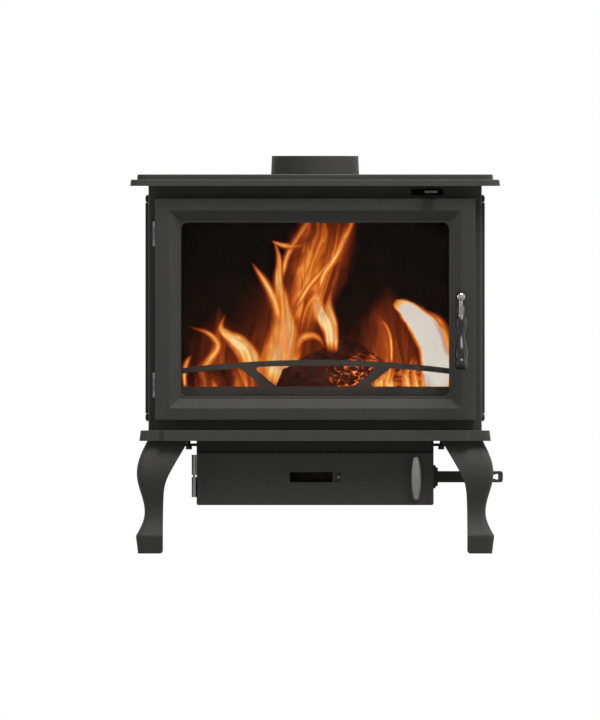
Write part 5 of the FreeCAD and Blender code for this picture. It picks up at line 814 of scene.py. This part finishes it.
def bed_height(x, y):
    """Top of the ash bed."""
    edge = min(x - BED_LEFT, BED_RIGHT - x, y - BED_FRONT, BED_BACK - y) / BED_RIM
    rim = 1 - (1 - clamped(edge)) ** 2
    fall = (x / HEAP_HALF_WIDTH) ** 4 + ((y - HEAP_MIDDLE) / HEAP_HALF_DEPTH) ** 2
    heap = HEAP_HEIGHT * math.exp(-fall)
    place = Vector((x, y, 0.0))
    rough = sum(height * field.noise(place * lumps) for height, lumps in BED_LUMPS)
    return BED_EDGE + rim * max(BED_LEAST, BED_DEPTH + heap + rough) * MM


def ash_bed():
    """Closed heap of ash that fills the well above the grate."""
    top, bottom, heat = [], [], []
    for row in range(BED_ROWS + 1):
        y = BED_FRONT + (BED_BACK - BED_FRONT) * row / BED_ROWS
        for column in range(BED_COLUMNS + 1):
            x = BED_LEFT + (BED_RIGHT - BED_LEFT) * column / BED_COLUMNS
            top.append((x, y, bed_height(x, y)))
            sunk = WELL[0][0] < x < WELL[0][1] and WELL[1][0] < y < WELL[1][1]
            bottom.append((x, y, WELL_FLOOR if sunk else BED_FLOOR))
            heat.append(BED_HEAT * in_fire(x, y, *BED_FIRE))
    wide = BED_COLUMNS + 1
    below = len(top)
    faces = []
    for row in range(BED_ROWS):
        for column in range(BED_COLUMNS):
            a = row * wide + column
            faces.append((a, a + 1, a + wide + 1, a + wide))
            faces.append((below + a, below + a + wide, below + a + wide + 1, below + a + 1))
    rim = list(range(BED_COLUMNS))
    rim += [row * wide + BED_COLUMNS for row in range(BED_ROWS)]
    rim += [BED_ROWS * wide + column for column in range(BED_COLUMNS, 0, -1)]
    rim += [row * wide for row in range(BED_ROWS, 0, -1)]
    for a, b in zip(rim, rim[1:] + rim[:1]):
        faces.append((a, below + a, below + b, b))
    new_piece("ash_bed", top + bottom, faces, "stove", EMBER, {"ember_heat": heat + [0.0] * below})


# Coals: a pair is the least and the most; size is in millimetres, shapes are shares of it
COAL_COUNT = 120
COAL_SEED = 11
COAL_ACROSS = (-210.0 * MM, 210.0 * MM)
COAL_DEPTH = (-70.0 * MM, 150.0 * MM)
COAL_MIDDLE, COAL_SCATTER = 40.0 * MM, 60.0 * MM
COAL_SIZE = (8, 19)
COAL_WIDE = (0.8, 1.3)
COAL_TALL = (0.6, 0.9)
COAL_WARMTH = (0.1, 0.85)
COAL_SHIFT = (0, 50)
COAL_RAISED = 0.25
COAL_DIVISIONS = 3
COAL_CORE, COAL_FACET, COAL_LUMP = 0.72, 0.34, 0.14
FACET_SCALE, LUMP_SCALE = 1.3, 3.1
UNDER_HEAT, TOP_COOLING = 1.25, 0.8


def coals():
    """Lumps of charcoal half sunk in the ash, densest under the logs."""
    dice = random.Random(COAL_SEED)
    mesh = bmesh.new()
    heat_layer = mesh.verts.layers.float.new("ember_heat")
    for _ in range(COAL_COUNT):
        x = dice.uniform(*COAL_ACROSS)
        y = max(COAL_DEPTH[0], min(COAL_DEPTH[1], dice.gauss(COAL_MIDDLE, COAL_SCATTER)))
        size = dice.uniform(*COAL_SIZE) * MM
        flat = Vector((dice.uniform(*COAL_WIDE), dice.uniform(*COAL_WIDE), dice.uniform(*COAL_TALL)))
        warm = dice.uniform(*COAL_WARMTH) * in_fire(x, y, *COAL_FIRE)
        shift = Vector((dice.uniform(*COAL_SHIFT), dice.uniform(*COAL_SHIFT), dice.uniform(*COAL_SHIFT)))
        middle = Vector((x, y, bed_height(x, y) + COAL_RAISED * size))
        lump = bmesh.ops.create_icosphere(mesh, subdivisions=COAL_DIVISIONS, radius=1.0)["verts"]
        for vertex in lump:
            way = vertex.co.normalized()
            near = field.voronoi(way * FACET_SCALE + shift)[0]
            reach = COAL_CORE + COAL_FACET * min(1.0, near[1] - near[0])
            reach += COAL_LUMP * field.noise(way * LUMP_SCALE + shift)
            vertex[heat_layer] = warm * (UNDER_HEAT - TOP_COOLING * max(0.0, way.z))
            vertex.co = middle + Vector(a * b for a, b in zip(way, flat)) * reach * size
    data = bpy.data.meshes.new("coals")
    mesh.to_mesh(data)
    mesh.free()
    data.shade_smooth()
    obj = bpy.data.objects.new("coals", data)
    bpy.context.scene.collection.objects.link(obj)
    dress(obj, EMBER)
    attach(obj, "stove")


LOG_ROWS = 130
LOG_SIDES = 160
LOG_CAP_RINGS = 9
LOG_TAPER = 0.2
LOG_LEAST = 0.3
SEED_STEPS = (7.3, 3.1, 5.7)

# Swells of a log: share of its radius, lumps to the metre
LOG_SWELLS = ((0.06, 16), (0.03, 42))
SPLIT_SPREAD = 0.5
RIDGE_HEIGHT = 2.0 * MM
RIDGES_AROUND, RIDGES_ALONG = 5.5, 9
CHECK_DEPTH = 1.9 * MM
CHECK_WIDTH = 10.0 * MM
CHECK_LENGTH = 21.0 * MM
CHECK_EDGE = 0.36

# Sawn ends: bulge, growth rings, and how far the last ring draws in
CAP_BULGE = 4.0 * MM
CAP_RING_HEIGHT = 0.6 * MM
CAP_RING_TURN = 40
CAP_SHRINK = 0.97

# Heat of a log: on its faces and in its checks, all over, underneath, and facing right past a line
FACE_HEAT, CHECK_HEAT = 0.12, 1.0
WHOLE_HEAT, LOW_HEAT, SIDE_HEAT = 0.24, 0.5, 0.9
SIDE_HEAT_FROM, SIDE_HEAT_OVER = 10.0 * MM, 60.0 * MM


def burning_log(name, start, end, radius, splits, seed, warmth):
    """Charred log between two points in millimetres; a split is (angle, share of the radius kept)."""
    start, end = Vector(start) * MM, Vector(end) * MM
    radius *= MM
    axis = (end - start).normalized()
    side = axis.cross(Vector((0, 0, 1))).normalized()
    up = side.cross(axis)
    length = (end - start).length
    shift = Vector([seed * step for step in SEED_STEPS])
    vertices, heat, bark = [], [], []

    def add_ring(along, shrink, push):
        """One ring of points at a share of the length, drawn in and pushed along the axis."""
        taper = 1 - LOG_TAPER * (1 - along)
        for index in range(LOG_SIDES):
            turn = 2 * math.pi * index / LOG_SIDES
            reach = radius
            for angle, kept in splits:
                facing = math.cos(turn - math.radians(angle))
                if facing > kept * SPLIT_SPREAD:
                    reach = min(reach, radius * kept / facing)
            way = Vector((math.cos(turn), math.sin(turn), 0.0))
            place = Vector((way.x * radius, way.y * radius, along * length))
            reach += radius * sum(part * field.noise(place * lumps + shift) for part, lumps in LOG_SWELLS)
            ridge = Vector((way.x * RIDGES_AROUND, way.y * RIDGES_AROUND, along * length * RIDGES_ALONG))
            reach += RIDGE_HEIGHT * field.noise(ridge + shift)
            cell = Vector((place.x / CHECK_WIDTH, place.y / CHECK_WIDTH, place.z / CHECK_LENGTH))
            near = field.voronoi(cell + shift)[0]
            gap = 1 - min(1.0, (near[1] - near[0]) / CHECK_EDGE)
            reach -= CHECK_DEPTH * gap ** 2
            reach = max(reach, LOG_LEAST * radius) * shrink * taper
            centre = start + axis * (along * length + push)
            point = centre + side * (reach * way.x) + up * (reach * way.y)
            low = max(0.0, -way.y)
            right = clamped((point.x - SIDE_HEAT_FROM) / SIDE_HEAT_OVER) * max(0.0, way.x) ** 2
            vertices.append(point)
            crack = FACE_HEAT + CHECK_HEAT * gap ** 3
            heat.append(warmth * crack * (WHOLE_HEAT + LOW_HEAT * low + SIDE_HEAT * right))
            bark.append((turn * radius, along * length))

    def add_cap(along, rings, outward):
        """Bulged end with growth rings, in the order of its rings."""
        for ring in rings:
            share = ring / LOG_CAP_RINGS
            bulge = CAP_BULGE * (1 - (1 - share) ** 2)
            bulge -= CAP_RING_HEIGHT * math.sin(share * CAP_RING_TURN)
            add_ring(along, 1 - share * CAP_SHRINK, outward * bulge)

    add_cap(0.0, range(LOG_CAP_RINGS, 0, -1), -1)
    for row in range(LOG_ROWS + 1):
        add_ring(row / LOG_ROWS, 1.0, 0.0)
    add_cap(1.0, range(1, LOG_CAP_RINGS + 1), 1)
    rows = LOG_ROWS + 1 + 2 * LOG_CAP_RINGS
    faces = [tuple(reversed(face)) for face in ring_faces(rows, LOG_SIDES, False)]
    faces.append(tuple(range(LOG_SIDES)))
    faces.append(tuple(reversed(range((rows - 1) * LOG_SIDES, rows * LOG_SIDES))))
    obj = new_piece(name, vertices, faces, "stove", CHARRED, {"ember_heat": heat})
    lay_flat(obj, "bark", bark)


FLAME_STEPS = 44
FLAME_COLUMNS = 14
FLAME_THICKNESS = 2.4 * MM
FLAME_FULLNESS = 0.6
FLAME_TIP = 0.4
FLAME_WAVE = 16.0 * MM
WAVE_SHARE = 0.5
WAVES_ACROSS, WAVES_ALONG = 0.9, 11
PATTERN_SHIFT = 0.01


def tongue(name, points, bow, material):
    """Thin closed flame along points of (x, y, z, half width) in millimetres, bowed in depth."""
    line = smooth_line(points, FLAME_STEPS + 1)
    own = points[0][0]
    vertices, profile, metres = [], [], []
    index = {}
    gone = 0.0
    for row, place in enumerate(line):
        middle = place.xyz * MM
        half = max(place.w, FLAME_TIP) * MM
        before, after = line[max(row - 1, 0)].xyz, line[min(row + 1, FLAME_STEPS)].xyz
        way = (after - before).normalized()
        side = Vector((way.z, 0, -way.x)).normalized()
        out = side.cross(way).normalized()
        if row:
            gone += (middle - line[row - 1].xyz * MM).length
        upward = row / FLAME_STEPS
        swell = FLAME_THICKNESS * math.sin(math.pi * upward) ** FLAME_FULLNESS
        for column in range(FLAME_COLUMNS + 1):
            across = 2 * column / FLAME_COLUMNS - 1
            base = middle + side * (across * half)
            wave = field.noise(Vector((across * WAVES_ACROSS, gone * WAVES_ALONG, own)))
            wave *= min(half * WAVE_SHARE, FLAME_WAVE)
            base += out * (bow * MM * across * across + wave)
            rim = row in (0, FLAME_STEPS) or column in (0, FLAME_COLUMNS)
            for layer in ((0,) if rim else (1, -1)):
                index[row, column, layer] = len(vertices)
                vertices.append(base + out * (layer * swell * (1 - across * across)))
                profile.append((column / FLAME_COLUMNS, upward))
                metres.append((across * half + own * PATTERN_SHIFT, gone))

    def corner(row, column, layer):
        """Number of a point; the two layers share the points of the rim."""
        return index.get((row, column, 0), index.get((row, column, layer)))

    faces = []
    for row in range(FLAME_STEPS):
        for column in range(FLAME_COLUMNS):
            for layer in (1, -1):
                quad = [
                    corner(row, column, layer), corner(row, column + 1, layer),
                    corner(row + 1, column + 1, layer), corner(row + 1, column, layer),
                ]
                faces.append(tuple(quad if layer > 0 else reversed(quad)))
    obj = new_piece(name, vertices, faces, "stove", material)
    lay_flat(obj, "profile", profile)
    lay_flat(obj, "metres", metres)


EMBER = ember()
CHARRED = charred_wood()
FLAMES = {
    "hot": flame("flame_hot", gain=1.55, streak=0.10, ragged=0.45, soft=0.42, peak=WHITE_HOT),
    "bright": flame("flame_bright", gain=1.16, streak=0.40, ragged=0.5, soft=0.75),
    "strand": flame("flame_strand", gain=0.84, streak=0.30, ragged=0.3, soft=1.0),
    "veil": flame("flame_veil", gain=0.58, streak=0.62, ragged=0.5, soft=0.7),
    "lick": flame("flame_lick", gain=0.80, streak=0.62, ragged=1.3, soft=0.8),
    "low": flame("flame_low", gain=0.52, streak=0.66, ragged=1.3, soft=0.8),
    "glow": flame("flame_glow", gain=0.42, streak=0.45, ragged=0.6, soft=1.0),
}

# Logs: name, start, end, radius, splits, seed, warmth
LOG_FRONT_FACES = ((60, 0.74), (332, 0.84), (150, 0.86), (262, 0.64))
LOGS = (
    ("log_left", (-228, 14, 316), (-62, 70, 318), 29, ((80, 0.75),), 2, 0.9),
    ("log_right", (44, 112, 322), (226, 44, 314), 30, ((110, 0.8),), 5, 1.0),
    ("log_front", (-34, -66, 295), (80, 88, 337), 66, LOG_FRONT_FACES, 9, 0.8),
)

# Flames: name, kind, bow, points of (x, y, z, half width), all in millimetres
TONGUES = (
    ("flame_stem", "bright", 10, (
        (-66, -16, 290, 64), (-64, -20, 350, 52), (-56, -25, 400, 38), (-59, -30, 450, 24),
        (-67, -34, 500, 13), (-67, -40, 545, 8), (-76, -46, 576, 2))),
    ("flame_stem_core", "strand", 4, (
        (-62, -30, 316, 26), (-57, -32, 380, 24), (-58, -34, 430, 17), (-63, -36, 482, 9),
        (-68, -38, 530, 1))),
    ("flame_left_fork", "strand", 5, (
        (-60, -32, 415, 20), (-74, -35, 464, 17), (-92, -38, 499, 12), (-107, -40, 521, 7),
        (-117, -42, 536, 1))),
    ("flame_veil", "veil", 20, (
        (-34, 12, 380, 34), (-20, 4, 450, 52), (-4, -10, 500, 62), (8, -30, 545, 70),
        (16, -54, 585, 70), (18, -74, 612, 64), (20, -84, 634, 44))),
    ("flame_veil_edge", "strand", 4, (
        (4, -24, 470, 6), (16, -30, 512, 10), (38, -44, 545, 14), (52, -60, 575, 16),
        (66, -74, 606, 15), (72, -84, 633, 6))),
    ("flame_thread_right", "strand", 3, (
        (-42, -18, 440, 8), (-12, -22, 490, 8), (14, -26, 520, 8), (40, -32, 552, 6),
        (62, -42, 588, 1))),
    ("flame_thread_left", "strand", 3, (
        (-64, -28, 490, 8), (-52, -34, 545, 10), (-32, -50, 580, 12), (-10, -68, 612, 10),
        (8, -80, 634, 3))),
    ("flame_cap", "strand", 3, (
        (-82, -46, 575, 3), (-58, -48, 566, 8), (-34, -48, 565, 8), (-6, -48, 572, 2))),
    ("flame_fork_inner", "bright", 5, (
        (30, 18, 366, 10), (24, 12, 412, 16), (8, 8, 446, 20), (3, 4, 472, 14), (9, 0, 508, 1))),
    ("flame_fork_outer", "bright", 5, (
        (36, 16, 366, 11), (33, 10, 420, 12), (25, 6, 450, 12), (30, 2, 488, 1))),
    ("flame_arch", "strand", 3, (
        (-36, -10, 366, 11), (-26, -10, 394, 14), (-6, -10, 401, 13), (9, -10, 393, 9),
        (18, -10, 374, 1))),
    ("flame_swan", "bright", 6, (
        (-106, -8, 310, 34), (-118, -10, 356, 30), (-137, -12, 383, 23), (-158, -14, 399, 16),
        (-173, -16, 415, 9), (-165, -18, 441, 1))),
    ("flame_swan_core", "bright", 3, (
        (-114, -18, 330, 14), (-130, -19, 372, 16), (-150, -20, 391, 13), (-169, -21, 407, 7),
        (-170, -22, 426, 1))),
    ("flame_curl", "strand", 4, (
        (-218, -4, 330, 13), (-192, -4, 358, 14), (-179, -4, 384, 13), (-198, -4, 406, 9),
        (-234, -4, 417, 1))),
    ("flame_right", "hot", 10, (
        (222, -20, 268, 34), (223, -24, 330, 34), (219, -28, 380, 34), (203, -32, 412, 33),
        (184, -35, 434, 28), (167, -37, 449, 21), (153, -38, 458, 15), (146, -38, 463, 8))),
    ("flame_right_edge", "strand", 3, (
        (246, -36, 362, 10), (241, -38, 400, 14), (226, -40, 430, 12), (204, -42, 448, 1))),
    ("flame_thin", "glow", 4, (
        (134, 22, 322, 26), (131, 18, 380, 24), (124, 14, 416, 19), (104, 10, 448, 1))),
    ("flame_thin_edge", "strand", 3, (
        (140, 20, 340, 7), (140, 17, 385, 7), (133, 14, 414, 6), (116, 10, 438, 1))),
    ("lick_right", "lick", 5, (
        (128, -34, 280, 44), (130, -36, 306, 42), (138, -38, 332, 30), (150, -40, 358, 2))),
    ("lick_far_right", "lick", 5, (
        (178, -30, 276, 44), (180, -32, 304, 42), (176, -34, 334, 28), (186, -36, 366, 2))),
    ("lick_middle_right", "lick", 5, (
        (84, 30, 290, 40), (88, 28, 316, 38), (98, 26, 344, 26), (104, 24, 372, 2))),
    ("lick_left", "low", 5, (
        (-128, -36, 278, 44), (-132, -38, 304, 42), (-140, -40, 330, 26), (-152, -42, 356, 2))),
    ("lick_far_left", "low", 5, (
        (-194, -32, 278, 46), (-198, -34, 304, 42), (-204, -36, 330, 26), (-216, -38, 352, 2))),
    ("flame_corner", "strand", 3, (
        (-238, -6, 300, 6), (-240, -10, 330, 8), (-235, -14, 352, 9), (-227, -18, 366, 1))),
    ("glow_middle", "glow", 8, (
        (-60, 128, 260, 140), (-60, 128, 350, 150), (-46, 126, 430, 120), (-30, 122, 500, 70),
        (-24, 118, 570, 8))),
    ("glow_right", "glow", 8, (
        (138, 134, 256, 112), (136, 134, 340, 112), (134, 130, 420, 80), (132, 128, 490, 6))),
    ("glow_left", "glow", 8, (
        (-186, 96, 260, 70), (-184, 92, 340, 72), (-180, 88, 400, 54), (-178, 84, 455, 5))),
)

ash_bed()
coals()
for log_facts in LOGS:
    burning_log(*log_facts)
for tongue_name, kind, tongue_bow, tongue_points in TONGUES:
    tongue(tongue_name, tongue_points, tongue_bow, FLAMES[kind])


# Stage, light and camera

def floor():
    """Pale floor that keeps the stove's shadow and fades to white further out."""
    mesh = bpy.data.meshes.new("floor")
    half = FLOOR_SIZE / 2
    corners = [(-half, -half, 0), (half, -half, 0), (half, half, 0), (-half, half, 0)]
    mesh.from_pydata(corners, [], [(0, 1, 2, 3)])
    obj = bpy.data.objects.new("floor", mesh)
    bpy.context.scene.collection.objects.link(obj)
    graph = Graph("floor")
    seen = graph.backdrop_ray()
    clouds = graph.noise(FLOOR_CLOUDS, detail=4.0)
    pale = graph.ramp(clouds, (0.3, FLOOR_GREYS[0]), (0.7, FLOOR_GREYS[1]))
    base = graph.mix(seen, FLOOR_BOUNCE, pale)
    lit = graph.principled(Base_Color=base, Roughness=FLOOR_ROUGHNESS)
    away = graph.add("VectorMath", {0: graph.place()}, operation="LENGTH").outputs["Value"]
    near, far = FLOOR_FADE
    fade = graph.math("DIVIDE", graph.math("SUBTRACT", away, near), far - near, clamp=True)
    fade = graph.math("MULTIPLY", fade, seen)
    plain = graph.add("Emission", {"Color": WHITE, "Strength": 1.0}).outputs[0]
    surface = graph.add("MixShader", {0: fade, 1: lit, 2: plain}).outputs[0]
    graph.add("OutputMaterial", {"Surface": surface})
    dress(obj, graph.owner)


def world():
    """Soft even light, and plain white to the camera, in reflections and through glass."""
    scene_world = bpy.data.worlds.new("studio")
    bpy.context.scene.world = scene_world
    graph = Graph("studio", scene_world)
    lit = graph.add("Background", {"Color": WHITE, "Strength": WORLD_STRENGTH}).outputs[0]
    plain = graph.add("Background", {"Color": WHITE, "Strength": 1.0}).outputs[0]
    surface = graph.add("MixShader", {0: graph.backdrop_ray(), 1: lit, 2: plain}).outputs[0]
    graph.add("OutputWorld", {"Surface": surface})


def softbox(name, place, size, power):
    """Rectangular lamp aimed at the middle of the stove."""
    lamp = bpy.data.lights.new(name, "AREA")
    lamp.shape = "RECTANGLE"
    lamp.size, lamp.size_y = size
    lamp.energy = power
    obj = bpy.data.objects.new(name, lamp)
    obj.location = place
    aim = (CAD_BOX[0] + CAD_BOX[1]) / 2 - Vector(place)
    obj.rotation_euler = aim.to_track_quat("-Z", "Y").to_euler()
    bpy.context.scene.collection.objects.link(obj)


def camera():
    """Level camera whose frame has the stove where the photograph has it."""
    data = bpy.data.cameras.new("camera")
    data.type = "ORTHO"
    data.ortho_scale = max(PHOTO_WIDTH, PHOTO_HEIGHT) * METRES_PER_PIXEL
    data.clip_end = CAMERA_REACH
    obj = bpy.data.objects.new("camera", data)
    across = (PHOTO_WIDTH / 2 - STOVE_MIDDLE_PIXEL) * METRES_PER_PIXEL
    upward = (GROUND_PIXEL - PHOTO_HEIGHT / 2) * METRES_PER_PIXEL
    obj.location = (across, -CAMERA_DISTANCE, upward)
    obj.rotation_euler = (math.pi / 2, 0, 0)
    bpy.context.scene.collection.objects.link(obj)
    bpy.context.scene.camera = obj


floor()
world()
for lamp_name, lamp_facts in LAMPS.items():
    softbox(lamp_name, *lamp_facts)
camera()
bpy.context.scene.view_settings.view_transform = "Standard"
